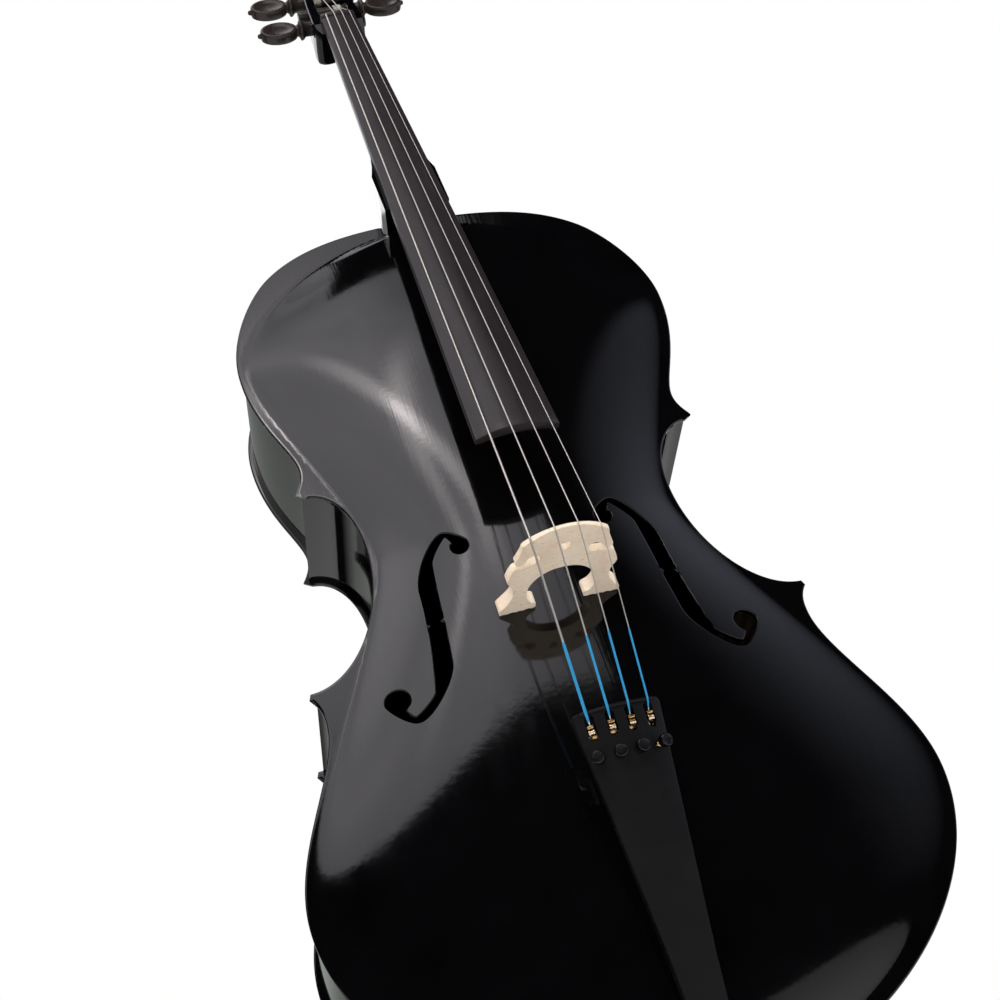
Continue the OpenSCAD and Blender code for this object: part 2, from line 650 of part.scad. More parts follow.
// ---- Endpin
socket_r = 13;
collar_bottom = endpin_out - 17;
groove_z = endpin_out - 5;
groove_r = 12.5;
cord_r = 1.8;
module endpin_socket() {
    color(ebony) translate([0, 0, endpin_out + overhang]) difference() {
        cylinder(h = 34, r = socket_r);
        translate([0, 0, -1]) cylinder(h = 40, r = rod_d / 2 + run);
    }
}
module endpin_collar() {
    color(ebony) difference() {
        union() {
            translate([0, 0, endpin_out - 2]) cylinder(h = 2 + overhang, r = 16);
            translate([0, 0, groove_z - 4]) cylinder(h = 8, r = groove_r);
            translate([0, 0, collar_bottom]) cylinder(h = 9, r = 16);
        }
        translate([0, 0, collar_bottom - 1]) cylinder(h = 40, r = rod_d / 2 + run);
        translate([0, 0, collar_bottom + 4.5]) rotate([0, 90, 0]) cylinder(h = 30, r = 2.5 + run);
    }
}
module endpin_rod() {
    color(steel) translate([0, 0, 15]) cylinder(h = rod_length, r = rod_d / 2);
}
module endpin_tip() {
    color(ebony) difference() {
        union() {
            cylinder(h = 16, r = 9);
            translate([0, 0, 16 - tiny]) cylinder(h = 5, r1 = 9, r2 = 7);
        }
        translate([0, 0, 15]) cylinder(h = 20, r = rod_d / 2);
    }
}
screw_from = rod_d / 2 + gap;
module endpin_screw() {
    color(steel) translate([screw_from, 0, collar_bottom + 4.5]) rotate([0, 90, 0]) cylinder(h = 18, r = 2.5);
}
module endpin_screw_head() {
    color(steel) translate([18, 0, collar_bottom + 4.5]) rotate([0, 90, 0]) difference() {
        union() {
            cylinder(h = 9, r = 6);
            translate([-2, -11, 2]) cube([4, 22, 7]);
        }
        translate([0, 0, -1]) cylinder(h = 6.6, r = 2.5 + run);
    }
}

loop_r = groove_r + cord_r + 0.05;
half_cord = [
    [6, front_y - tail_rise + 7 * cos(tail_lean) + (tailpiece_length - 9) * sin(tail_lean),
     tail_at[2] + 7 * sin(tail_lean) - (tailpiece_length - 9) * cos(tail_lean)],
    [8, front_y - 9.5 - cord_r - 0.2, endpin_out + 5],
    [9, front_y - 8.5 - cord_r, endpin_out - 2.6]];
cord_route = concat(
    half_cord,
    [for (a = [0 : 15 : 180]) [loop_r * cos(a), loop_r * sin(a), groove_z]],
    [for (i = [2 : -1 : 0]) [-half_cord[i][0], half_cord[i][1], half_cord[i][2]]]);
module tail_cord() {
    color(ebony) tube(cord_route, cord_r, 12, [0, 0, 1]);
}

module rib_upper_left() { rib(upper_rib, -1); }
module rib_upper_right() { rib(upper_rib, 1); }
module rib_waist_left() { rib(waist_rib, -1); }
module rib_waist_right() { rib(waist_rib, 1); }
module rib_lower_left() { rib(lower_rib, -1); }
module rib_lower_right() { rib(lower_rib, 1); }

top_plate();
back_plate();
rib_upper_left();
rib_upper_right();
rib_waist_left();
rib_waist_right();
rib_lower_left();
rib_lower_right();
linings();
corner_blocks();
neck_block();
end_block();
bass_bar();
sound_post();
neck();
fingerboard();
nut();
saddle();
bridge();
tailpiece();
tailpiece_fret();
tuner_pins();
tail_cord();
string_silk();
wire(0);  // string_c
wire(1);  // string_g
wire(2);  // string_d
wire(3);  // string_a
peg(0);  // peg_c
peg(1);  // peg_g
peg(2);  // peg_d
peg(3);  // peg_a
winding(0);  // winding_c
winding(1);  // winding_g
winding(2);  // winding_d
winding(3);  // winding_a
tuner_lever(0);  // tuner_lever_c
tuner_lever(1);  // tuner_lever_g
tuner_lever(2);  // tuner_lever_d
tuner_lever(3);  // tuner_lever_a
ball_end(0);  // ball_end_c
ball_end(1);  // ball_end_g
ball_end(2);  // ball_end_d
ball_end(3);  // ball_end_a
tuner_screw(0);  // tuner_screw_c
tuner_screw(1);  // tuner_screw_g
tuner_screw(2);  // tuner_screw_d
tuner_screw(3);  // tuner_screw_a
tuner_knob(0);  // tuner_knob_c
tuner_knob(1);  // tuner_knob_g
tuner_knob(2);  // tuner_knob_d
tuner_knob(3);  // tuner_knob_a
endpin_socket();
endpin_collar();
endpin_rod();
endpin_tip();
endpin_screw();
endpin_screw_head();
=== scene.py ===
import math
import bpy
import numpy as np
from mathutils import Matrix, Vector
from mathutils.geometry import delaunay_2d_cdt
from mathutils.kdtree import KDTree


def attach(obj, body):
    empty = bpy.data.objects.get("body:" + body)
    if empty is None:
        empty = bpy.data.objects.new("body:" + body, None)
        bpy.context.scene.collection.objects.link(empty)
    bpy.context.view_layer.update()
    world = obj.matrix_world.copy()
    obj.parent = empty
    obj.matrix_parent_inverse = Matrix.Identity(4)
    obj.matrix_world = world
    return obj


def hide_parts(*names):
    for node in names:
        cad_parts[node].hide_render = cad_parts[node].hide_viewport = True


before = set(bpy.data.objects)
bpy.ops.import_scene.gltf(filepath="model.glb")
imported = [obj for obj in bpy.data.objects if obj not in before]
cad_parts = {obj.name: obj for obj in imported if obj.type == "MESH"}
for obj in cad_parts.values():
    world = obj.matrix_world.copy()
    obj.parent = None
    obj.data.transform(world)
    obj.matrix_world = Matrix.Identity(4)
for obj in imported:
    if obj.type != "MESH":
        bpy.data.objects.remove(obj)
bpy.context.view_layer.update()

STRINGS = "cgda"

# ---------------- sizes, in millimetres
STRING_R = {"c": 0.8, "g": 0.6, "d": 0.5, "a": 0.4}
BODY_Z = 340.0                 # height of the bottom of the body
BODY_L = 755.0                 # its length
FRONT_Y = -62.5                # plane of the front's outer edge
BACK_Y = 62.5
RIB_Y = 58.0                   # the ribs reach this far from the middle plane
WALL = 4.5                     # thickness of the plates
TOP_ARCH, BACK_ARCH = 22.0, 24.0
PLATE_END = 743.0              # the front stops here, under the neck
HEEL_HALF, BUTTON_HALF = 27.5, 16.0
TOP_Z = BODY_Z + BODY_L
NUT_Z = TOP_Z + 280
BOARD_END_Z = BODY_Z + 462
BOARD_R = 62.0                 # radius of the fingerboard's crown
BOARD_T = 6.0                  # thickness of its edges
BOARD_UP = 85.0                # height of its free end over the front's edge
BOARD_TILT = math.radians(8.7)
NUT_W, END_W = 32.0, 63.0      # its width at the nut and at its free end
NUT_UP = 1.2                   # height of the nut over it
NECK_T = 25.5                  # thickness of the neck behind the glue face
NUT_PITCH, BRIDGE_PITCH = 7.5, 16.5

stack = np.column_stack


def unit(rows):
    """Rows brought to length one."""
    return rows / np.linalg.norm(rows, axis=1)[:, None]


def full_turn(n):
    """Angles spread evenly round a circle."""
    return np.arange(n) * 2 * math.pi / n


# ---------------- outline
def cubic(a, u, b, v, t):
    """Curve from a to b that leaves along u and arrives along v."""
    t = t[:, None]
    return ((2*t**3 - 3*t**2 + 1) * a + (t**3 - 2*t**2 + t) * u
            + (3*t**2 - 2*t**3) * b + (t**3 - t**2) * v)


def chain(knots, n):
    """Cubic curves through knots of place, direction in and direction out, two numbers each."""
    k = np.array(knots, float).reshape(-1, 3, 2)
    t = np.arange(n) / n
    runs = [cubic(a[0], a[2], b[0], b[1], t) for a, b in zip(k, k[1:])]
    return np.vstack(runs + [k[-1, :1]])


def arc(x, z, rx, rz, start, end, n):
    """Points round an ellipse from one angle to another, in degrees."""
    a = np.radians(np.linspace(start, end, n))
    return stack([x + rx * np.cos(a), z + rz * np.sin(a)])


def through(points, n=6, closed=False):
    """Smooth curve through points."""
    p = np.array(points, float)
    m = len(p)
    out = []
    for i in range(m if closed else m - 1):
        if closed:
            a, b, c, d = (p[(i + j) % m] for j in (-1, 0, 1, 2))
        else:
            a, b, c, d = p[max(i - 1, 0)], p[i], p[i + 1], p[min(i + 2, m - 1)]
        out.append(cubic(b, (c - a) / 2, c, (d - b) / 2, np.arange(n) / n))
    if not closed:
        out.append(p[-1][None])
    return np.vstack(out)


def spaced(path, step):
    """Points at an even distance along an open path, its ends kept."""
    run = np.r_[0, np.cumsum(np.linalg.norm(np.diff(path, axis=0), axis=1))]
    s = np.linspace(0, run[-1], max(2, int(round(run[-1] / step)) + 1))
    return stack([np.interp(s, run, path[:, i]) for i in range(path.shape[1])])


def beside(path, d):
    """The path moved sideways."""
    t = unit(np.gradient(path, axis=0))
    return path + d * stack([-t[:, 1], t[:, 0]])


LOWER = chain([(0, 0, 1, 0, 330, 0), (220, 175, 0, 270, 0, 150), (177.5, 309, 0, 105, 0, 26),
               (184.5, 331, 18, 22, 0, 0)], 60)
WAIST = chain([(183, 335, 0, 0, -100, 1), (117.5, 440, 0, 165, 0, 90), (151, 497, 63, 1, 0, 0)], 60)
UPPER = chain([(157.5, 501, 0, 0, -13, 20), (149.7, 522, 0, 24, 0, 60), (175.5, 626, 0, 160, 0, 110),
               (134, 719, -52, 46, -100, 88), (0, BODY_L, -170, 0, 0, 0)], 60)
CHANNEL = chain([(0, 12, 1, 0, 300, 0), (208, 178, 0, 250, 0, 190), (105.5, 432, 0, 150, 0, 140),
                 (163.5, 626, 0, 130, 0, 130), (0, BODY_L - 12, -250, 0, 0, 0)], 200)


def soft_abs(x, r):
    """Distance from 0, rounded off near it."""
    return np.sqrt(x * x + r * r) - r


def swell(s, power, lead):
    """Rise of an arch from its edge at s = 0, which it leaves flat, to its top at s = 1."""
    s = np.clip(s, 0, 1)
    return (1 - (1 - s) ** power) * s / (s + lead) * (1 + lead)


def rise(x, z):
    """Share of the arch's full height at a place on a plate."""
    w = np.maximum(np.interp(z, CHANNEL[:, 1], CHANNEL[:, 0]), 0.5)
    along = 1 - soft_abs(z - BODY_L / 2, 30) / (BODY_L / 2 - 12)
    across = 1 - soft_abs(x, 9) / w
    return swell(along, 4.5, 0.04) * swell(across, 2.2, 0.06)


# ---------------- materials
def add_node(tree, kind, inputs=(), **settings):
    """New shader node; inputs are values, or sockets to link from."""
    n = tree.nodes.new("ShaderNode" + kind)
    for key, value in settings.items():
        setattr(n, key, value)
    for key, value in dict(inputs).items():
        if isinstance(value, bpy.types.NodeSocket):
            tree.links.new(value, n.inputs[key])
        else:
            n.inputs[key].default_value = value
    return n


def add_ramp(tree, fac, *stops):
    """Colour ramp through stops of (place, grey or colour)."""
    n = add_node(tree, "ValToRGB", {"Fac": fac})
    r = n.color_ramp
    r.elements[0].position, r.elements[1].position = stops[0][0], stops[-1][0]
    for place, _ in stops[1:-1]:
        r.elements.new(place)
    for e, (_, c) in zip(sorted(r.elements, key=lambda e: e.position), stops):
        e.color = (c, c, c, 1) if isinstance(c, (int, float)) else (*c, 1)
    return n.outputs["Color"]


def add_range(tree, value, start, end, low=0.0, high=1.0, kind="SMOOTHSTEP"):
    """Runs from low to high while the value runs from start to end."""
    inputs = {"Value": value, "From Min": start, "From Max": end, "To Min": low, "To Max": high}
    return add_node(tree, "MapRange", inputs, interpolation_type=kind).outputs[0]


def add_math(tree, kind, a, b):
    return add_node(tree, "Math", {0: a, 1: b}, operation=kind).outputs[0]


class Look:
    """A node material, built up step by step."""

    def __init__(self, name, **values):
        self.material = bpy.data.materials.new(name)
        self.material.use_nodes = True
        self.tree = self.material.node_tree
        self.shader = self.tree.nodes["Principled BSDF"]
        for key, value in values.items():
            self.shader.inputs[key.replace("_", " ")].default_value = value
        self.place = self.tree.nodes.new("ShaderNodeTexCoord").outputs["Object"]
        self.last_bump = None

    def node(self, kind, inputs, **settings):
        return add_node(self.tree, kind, inputs, **settings)

    def at(self, stretch):
        """The object's own place, scaled along each axis."""
        if not stretch:
            return self.place
        return self.node("Mapping", {"Vector": self.place, "Scale": stretch}).outputs["Vector"]

    def noise(self, scale, detail=3.0, rough=0.5, stretch=None, warp=0.0):
        return self.node("TexNoise", {"Vector": self.at(stretch), "Scale": scale, "Detail": detail,
                                      "Roughness": rough, "Distortion": warp}).outputs["Fac"]

    def bands(self, scale, axis="Z", stretch=None, warp=0.0, detail=2.0):
        inputs = {"Vector": self.at(stretch), "Scale": scale, "Distortion": warp, "Detail": detail}
        return self.node("TexWave", inputs, wave_type="BANDS", bands_direction=axis).outputs["Fac"]

    def ramp(self, fac, *stops):
        return add_ramp(self.tree, fac, *stops)

    def blend(self, fac, a, b):
        a, b = ((*c, 1) if isinstance(c, tuple) else c for c in (a, b))
        # 6 and 7 are the colour sockets of the Mix node, 2 its colour output
        return self.node("Mix", {"Factor": fac, 6: a, 7: b}, data_type="RGBA").outputs[2]

    def colour(self, fac, *stops):
        self.tree.links.new(self.ramp(fac, *stops), self.shader.inputs["Base Color"])

    def rough(self, fac, *stops):
        self.tree.links.new(self.ramp(fac, *stops), self.shader.inputs["Roughness"])

    def bump(self, height, strength, distance):
        inputs = {"Height": height, "Strength": strength, "Distance": distance}
        if self.last_bump:
            inputs["Normal"] = self.last_bump
        self.last_bump = self.node("Bump", inputs).outputs["Normal"]
        self.tree.links.new(self.last_bump, self.shader.inputs["Normal"])


def lacquer(name, grain):
    k = Look(name, IOR=1.45)
    k.colour(k.noise(14, 4, 0.6), (0.3, (0.0008, 0.0008, 0.0010)), (0.75, (0.0022, 0.0021, 0.0025)))
    k.rough(k.noise(55, 5, 0.65, (1, 1, 0.35), 0.6), (0.35, 0.05), (0.6, 0.085), (0.85, 0.14))
    k.bump(k.noise(240, 2, 0.4), 0.05, 0.0003)
    if grain:
        k.bump(k.noise(120, 3, 0.5, (4.5, 1, 0.06)), 0.07, 0.0003)
    else:
        k.bump(k.noise(60, 2, 0.5, (1, 1, 0.3)), 0.05, 0.0006)
    return k.material


def dark_wood(name, low, high, rough, depth=1.0):
    k = Look(name, IOR=1.36)
    fibre = k.noise(90, 6, 0.6, (7, 7, 0.25), 0.3)
    broad = k.noise(8, 3, 0.5, (4, 4, 0.3))
    middle = tuple((a + b) / 2 for a, b in zip(low, high))
    k.colour(k.blend(0.5, fibre, broad), (0.3, low), (0.52, middle), (0.72, high))
    k.rough(k.noise(40, 4, 0.6, (3, 3, 0.4)), (0.3, rough - 0.06), (0.8, rough + 0.1))
    pores = k.noise(260, 2, 0.5, (6, 6, 0.18))
    k.bump(k.ramp(pores, (0.38, 0.0), (0.5, 1.0)), 0.16 * depth, 0.0002)
    return k.material


def maple():
    k = Look("bridge_maple", IOR=1.45, Subsurface_Weight=0.06, Subsurface_Scale=0.002)
    k.shader.inputs["Subsurface Radius"].default_value = (1.0, 0.55, 0.3)
    broad = k.noise(45, 4, 0.55, (1, 0.5, 1), 0.8)
    tone = k.ramp(broad, (0.3, (0.80, 0.64, 0.47)), (0.55, (0.87, 0.73, 0.56)), (0.8, (0.91, 0.79, 0.64)))
    fleck = k.ramp(k.noise(900, 2, 0.6, (0.22, 1.0, 1.0)), (0.62, 0.0), (0.72, 1.0))
    warm = k.ramp(k.noise(75, 2, 0.5), (0.66, 0.0), (0.8, 0.6))
    tone = k.blend(fleck, tone, (0.55, 0.36, 0.21))
    tone = k.blend(warm, tone, (0.84, 0.50, 0.24))
    k.tree.links.new(tone, k.shader.inputs["Base Color"])
    k.rough(broad, (0.3, 0.48), (0.8, 0.66))
    k.bump(k.noise(700, 3, 0.6, (0.2, 1, 1)), 0.22, 0.00025)
    return k.material


def pale_wood():
    k = Look("inside_spruce", IOR=1.45)
    rings = k.bands(60, "X", warp=2.0)
    k.colour(rings, (0.2, (0.22, 0.15, 0.085)), (0.9, (0.13, 0.085, 0.045)))
    k.rough(k.noise(70), (0.3, 0.6), (0.8, 0.8))
    k.bump(rings, 0.15, 0.0003)
    return k.material


def mottled(name, ior, blotches, colours, patches, roughs, relief, strength, distance):
    """Colour, roughness and height that each follow a noise of their own."""
    k = Look(name, IOR=ior)
    k.colour(k.noise(*blotches), *colours)
    k.rough(k.noise(*patches), *roughs)
    k.bump(k.noise(*relief), strength, distance)
    return k.material


def metal(name, colour, dark, rough, grain=(1, 1, 1), scale=500.0):
    k = Look(name, Metallic=1.0)
    k.colour(k.noise(160, 4, 0.6), (0.3, dark), (0.6, colour))
    lines = k.noise(scale, 3, 0.6, grain)
    k.rough(lines, (0.3, rough * 0.7), (0.75, rough * 1.35))
    k.bump(lines, 0.1, 0.0001)
    return k.material


WAVES = 0.314      # scale of a wave texture whose bands lie one metre apart


def wound(name, pitch):
    """Flat metal tape wound tightly round a string; pitch in metres."""
    colour, rough = (0.72, 0.68, 0.61), 0.42
    k = Look(name, Metallic=1.0)
    turns = k.bands(WAVES / pitch, detail=0.0)
    k.colour(turns, (0.0, tuple(c * 0.92 for c in colour)), (0.25, colour))
    k.rough(k.noise(900, 2, 0.5), (0.3, rough * 0.95), (0.75, rough * 1.08))
    k.bump(turns, 0.04, pitch / 8)
    return k.material


def thread(name, colour, light, pitch, rough=0.55):
    k = Look(name, Sheen_Weight=0.12, Sheen_Roughness=0.4)
    turns = k.bands(WAVES / pitch, stretch=(1.6, 1.6, 1), detail=0.0)
    fluff = k.noise(900, 3, 0.6)
    k.colour(k.blend(0.35, turns, fluff), (0.15, colour), (0.8, light))
    k.rough(fluff, (0.3, rough - 0.1), (0.8, rough + 0.1))
    k.bump(turns, 0.6, pitch / 3)
    return k.material


# each look is a material and a slot name, which piece() unpacks but does not use
LACQUER_FRONT = lacquer("black_lacquer_front", True), "lacquer"
LACQUER = lacquer("black_lacquer", False), "lacquer"
EBONY = dark_wood("ebony_board", (0.010, 0.008, 0.009), (0.026, 0.021, 0.023), 0.36), "ebony"
EBONY_PEGS = dark_wood("ebony_pegs", (0.010, 0.008, 0.007), (0.034, 0.024, 0.019), 0.24, 0.5), "ebony"
MAPLE = maple(), "maple"
SPRUCE = pale_wood()
COMPOSITE = mottled("tailpiece_composite", 1.25, (30, 4), (
    (0.3, (0.0030, 0.0030, 0.0034)), (0.75, (0.0055, 0.0055, 0.0060))), (120, 4, 0.6), (
    (0.3, 0.34), (0.8, 0.48)), (1800, 2, 0.5), 0.12, 0.00012), "composite"
BRASS = metal("tuner_brass", (0.62, 0.43, 0.19), (0.42, 0.27, 0.11), 0.28), "brass"
ROD_STEEL = metal("rod_steel_brushed", (0.74, 0.74, 0.76), (0.58, 0.58, 0.60), 0.20, (1, 1, 0.05),
                  900), "rod_steel"
PIN_STEEL = metal("plain_steel", (0.80, 0.79, 0.77), (0.62, 0.61, 0.60), 0.25), "rod_steel"
BALL_BRASS = metal("ball_brass", (0.86, 0.70, 0.50), (0.66, 0.50, 0.30), 0.22), "brass"
KNOB = metal("knob_black_plated", (0.035, 0.035, 0.038), (0.02, 0.02, 0.021), 0.32), "knob_black"
TAPE = {k: (wound("string_wound_" + k, p), "string_steel")
        for k, p in zip(STRINGS, (0.0006, 0.0005, 0.00045, 0.0004))}
SILK = thread("silk_blue_wrap", (0.0005, 0.19, 0.42), (0.002, 0.31, 0.58), 0.0007), "silk_blue"
CORD = thread("cord_black_braid", (0.010, 0.010, 0.010), (0.035, 0.035, 0.036), 0.0016, 0.5), "cord_black"
RUBBER = mottled("tip_rubber", 1.45, (90, 5, 0.6), (
    (0.3, (0.018, 0.018, 0.018)), (0.8, (0.045, 0.044, 0.042))), (200, 4), (
    (0.3, 0.6), (0.8, 0.85)), (1200, 3, 0.6), 0.2, 0.0003), "rubber_black"
SOCKET = dark_wood("socket_black_wood", (0.010, 0.009, 0.009), (0.028, 0.025, 0.024), 0.28,
                   0.5), "socket_black"


# ---------------- mesh tools
def piece(name, verts, faces, look, body="root", nodes=(), angle=40, normals=None):
    """New mesh object from millimetre points."""
    material, slot = look
    mesh = bpy.data.meshes.new(name)
    verts = np.asarray(verts, float) / 1000
    mesh.from_pydata(verts.tolist(), [], [[int(i) for i in f] for f in faces])
    mesh.validate()
    mesh.update()
    mesh.polygons.foreach_set("use_smooth", [True] * len(mesh.polygons))
    if normals is not None:
        mesh.normals_split_custom_set(normals)
    else:
        mesh.set_sharp_from_angle(angle=math.radians(angle))
    mesh.materials.append(material)
    obj = bpy.data.objects.new(name, mesh)
    bpy.context.scene.collection.objects.link(obj)
    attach(obj, body)
    if nodes:
        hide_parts(*nodes)


class Build:
    """Collects the points and faces of a piece."""

    def __init__(self):
        self.verts, self.faces = [], []

    def add(self, verts, faces):
        base = len(self.verts)
        self.verts.extend(np.asarray(verts, float).tolist())
        self.faces.extend([[int(i) + base for i in f] for f in faces])
        return self

    def rings(self, rings, closed=True, cap=True):
        """Skin over rings that all have the same number of points."""
        rings = np.asarray(rings, float)
        m, n = rings.shape[:2]
        faces = []
        for a in range(0, (m - 1) * n, n):
            for j in range(n if closed else n - 1):
                k = (j + 1) % n
                faces.append([a + j, a + k, a + n + k, a + n + j])
        if cap:
            faces.append(list(range(n))[::-1])
            faces.append([(m - 1) * n + j for j in range(n)])
        return self.add(rings.reshape(-1, 3), faces)

    def lathe(self, profile, place, sides, cap=True):
        """Turns (radius, height) points round a local Z axis; place puts points in the frame."""
        a = full_turn(sides)
        rings = [stack([r * np.cos(a), r * np.sin(a), np.full(sides, h)]) for r, h in profile]
        return self.rings([place(r) for r in rings], cap=cap)

    def tube(self, path, radius, sides):
        """Round tube along a path."""
        path = np.asarray(path, float)
        r = np.broadcast_to(np.asarray(radius, float), (len(path),))
        t = unit(np.gradient(path, axis=0))
        u = np.cross(t[0], [0.31, 0.17, 0.93])     # any direction that no string runs along
        u /= np.linalg.norm(u)
        a = full_turn(sides)
        rings = []
        for i in range(len(path)):
            u = u - t[i] * np.dot(u, t[i])
            u /= np.linalg.norm(u)
            v = np.cross(t[i], u)
            rings.append(path[i] + r[i] * (np.cos(a)[:, None] * u + np.sin(a)[:, None] * v))
        return self.rings(rings)

    def done(self, name, look, **k):
        piece(name, self.verts, self.faces, look, **k)


def inside(points, loops):
    """Which points lie inside the loops, by the even-odd rule."""
    hit = np.zeros(len(points), bool)
    x, z = points[:, 0], points[:, 1]
    for loop in loops:
        a, b = loop, np.roll(loop, -1, 0)
        for (x0, z0), (x1, z1) in zip(a, b):
            if z0 == z1:
                continue
            lo, hi = min(z0, z1), max(z0, z1)
            m = (z > lo) & (z <= hi)
            if m.any():
                hit[m] ^= x[m] < x0 + (z[m] - z0) * (x1 - x0) / (z1 - z0)
    return hit


def nearest(points, loops):
    """Distance from each point to the loops, and the direction away from them."""
    segs = [(loop[i], loop[(i + 1) % len(loop)], loop[i - 1]) for loop in loops for i in range(len(loop))]
    tree = KDTree(len(segs))
    for i, (a, _, _) in enumerate(segs):
        tree.insert((a[0], a[1], 0), i)
    tree.balance()
    near = np.array([[s[1] for s in (tree.find_n((p[0], p[1], 0), 3))] for p in points])
    start = np.array([s[0] for s in segs])
    ends = (np.array([s[1] for s in segs]), np.array([s[2] for s in segs]))
    best = np.full(len(points), 1e9)
    away = np.zeros_like(points)
    for column in range(near.shape[1]):
        a = start[near[:, column]]
        for end in ends:
            b = end[near[:, column]]
            t = np.clip(((points - a) * (b - a)).sum(1) / np.maximum(((b - a) ** 2).sum(1), 1e-12), 0, 1)
            off = points - (a + (b - a) * t[:, None])
            d = np.linalg.norm(off, axis=1)
            m = d < best
            best[m], away[m] = d[m], off[m]
    return best, away / np.maximum(best, 1e-9)[:, None]


def rounded(d, r):
    """Drop of a rounded edge of radius r, and its slope, at distance d from the edge."""
    q = np.clip(1 - d / r, 0, 0.9995)
    return r * (1 - np.sqrt(1 - q * q)), -q / np.sqrt(1 - q * q)


def board(outline, holes, top, bottom, step, edge, hole_edge, rows, hole_rows=(), slope=1.5):
    """A board drawn in a plane, with holes, between a top and a bottom surface whose heights are functions
    of the place. Its edges are rounded, with rows of points at given distances from them. The tilt of a
    surface is measured over slope. Returns points (across, up, height), faces and corner normals."""
    loops = [outline] + list(holes)
    extra = []
    for loop, offs in [(outline, rows)] + [(h, hole_rows) for h in holes]:
        after = np.roll(loop, -1, 0)
        area = 0.5 * np.sum(loop[:, 0] * after[:, 1] - after[:, 0] * loop[:, 1])
        t = unit(after - np.roll(loop, 1, 0))
        inward = stack([-t[:, 1], t[:, 0]]) * (1 if area > 0 else -1) * (1 if loop is outline else -1)
        for d in offs:
            p = loop + inward * d
            extra.append(p[nearest(p, loops)[0] > 0.93 * d])
    lo, hi = outline.min(0), outline.max(0)
    gx, gz = np.meshgrid(np.arange(lo[0], hi[0], step), np.arange(lo[1], hi[1], step * 0.866))
    gx[1::2] += step / 2
    grid = stack([gx.ravel(), gz.ravel()])
    grid = grid[inside(grid, loops)]
    grid = grid[nearest(grid, [outline])[0] > rows[-1] + 0.55 * step]
    if holes:
        grid = grid[nearest(grid, holes)[0] > hole_rows[-1] + 0.55 * step]
    bound = np.vstack(loops)
    edges, base = [], 0
    for loop in loops:
        n = len(loop)
        edges += [(base + i, base + (i + 1) % n) for i in range(n)]
        base += n
    flat = np.vstack([bound] + extra + [grid])
    out = delaunay_2d_cdt([Vector(p) for p in flat], edges, [], 0, 1e-5)
    pts = np.array([[v.x, v.y] for v in out[0]])
    tri = np.array(out[2])
    tri = tri[inside(pts[tri].mean(1), loops)]
    a, b, c = pts[tri[:, 0]], pts[tri[:, 1]], pts[tri[:, 2]]
    turn = (b[:, 0] - a[:, 0]) * (c[:, 1] - a[:, 1]) - (b[:, 1] - a[:, 1]) * (c[:, 0] - a[:, 0])
    tri[turn < 0] = tri[turn < 0][:, ::-1]
    count = len(pts)
    d, away = nearest(pts, [outline])
    drop, fall = rounded(d, edge)
    grad_edge = fall[:, None] * away
    if holes:
        dh, away_h = nearest(pts, holes)
        drop_h, fall_h = rounded(dh, hole_edge)
        drop = np.maximum(drop, drop_h)
        near_hole = dh < hole_edge
        grad_edge[near_hole] = (fall_h[:, None] * away_h)[near_hole]
    x, z = pts[:, 0], pts[:, 1]

    def gradient(f):
        e = slope
        dx = (f(x + e, z) - f(x - e, z)) / (2 * e)
        dz = (f(x, z + e) - f(x, z - e)) / (2 * e)
        return stack([dx, dz])

    verts = np.vstack([stack([x, z, top(x, z) - drop]), stack([x, z, bottom(x, z) + drop])])
    n_up = unit(stack([grad_edge - gradient(top), np.ones(count)]))
    n_down = unit(stack([gradient(bottom) + grad_edge, -np.ones(count)]))
    faces = [list(t) for t in tri] + [list(t[::-1] + count) for t in tri]
    normals = [n_up[i] for t in tri for i in t] + [n_down[i] for t in tri for i in t[::-1]]
    # walls along the edges that belong to one triangle only
    ways = dict.fromkeys((t[i], t[(i + 1) % 3]) for t in tri.tolist() for i in range(3))
    side = {}
    at = {}
    for i, j in ways:
        if (j, i) not in ways:
            v = pts[j] - pts[i]
            side[(i, j)] = n = np.array([v[1], -v[0]]) / np.linalg.norm(v)
            at.setdefault(i, []).append(n)
            at.setdefault(j, []).append(n)
    for (i, j), n in side.items():
        faces.append([i, i + count, j + count, j])
        for k in (i, i, j, j):
            m = np.mean([q for q in at[k] if np.dot(q, n) > 0.7], axis=0)
            normals.append([m[0], m[1], 0])
    return verts, faces, np.array(normals)


def lay(name, made, place, look, shaded=True, **k):
    """Piece made of board()'s points and normals; place takes rows of (across, up, height)."""
    verts, faces, normals = made
    start = place(np.zeros((1, 3)))
    n = unit(place(normals) - start)
    # keep the faces facing outwards when the placing mirrors them
    if np.linalg.det(place(np.eye(3)) - start) < 0:
        sizes = [len(f) for f in faces]
        ends = np.cumsum(sizes)
        order = np.concatenate([np.arange(e - 1, e - s - 1, -1) for s, e in zip(sizes, ends)])
        faces, n = [f[::-1] for f in faces], n[order]
    piece(name, place(verts), faces, look, normals=n if shaded else None, **k)


# ---------------- front and back
def mirrored(path):
    return path[::-1] * [-1, 1]


def both_sides(right):
    """Closed outline from its right half, whose ends lie on the middle line."""
    return np.vstack([right, mirrored(right)[1:-1]])


HALF = np.vstack([spaced(LOWER, 2.2)[1:], spaced(WAIST, 2.2), spaced(UPPER, 2.2)[:-1]])


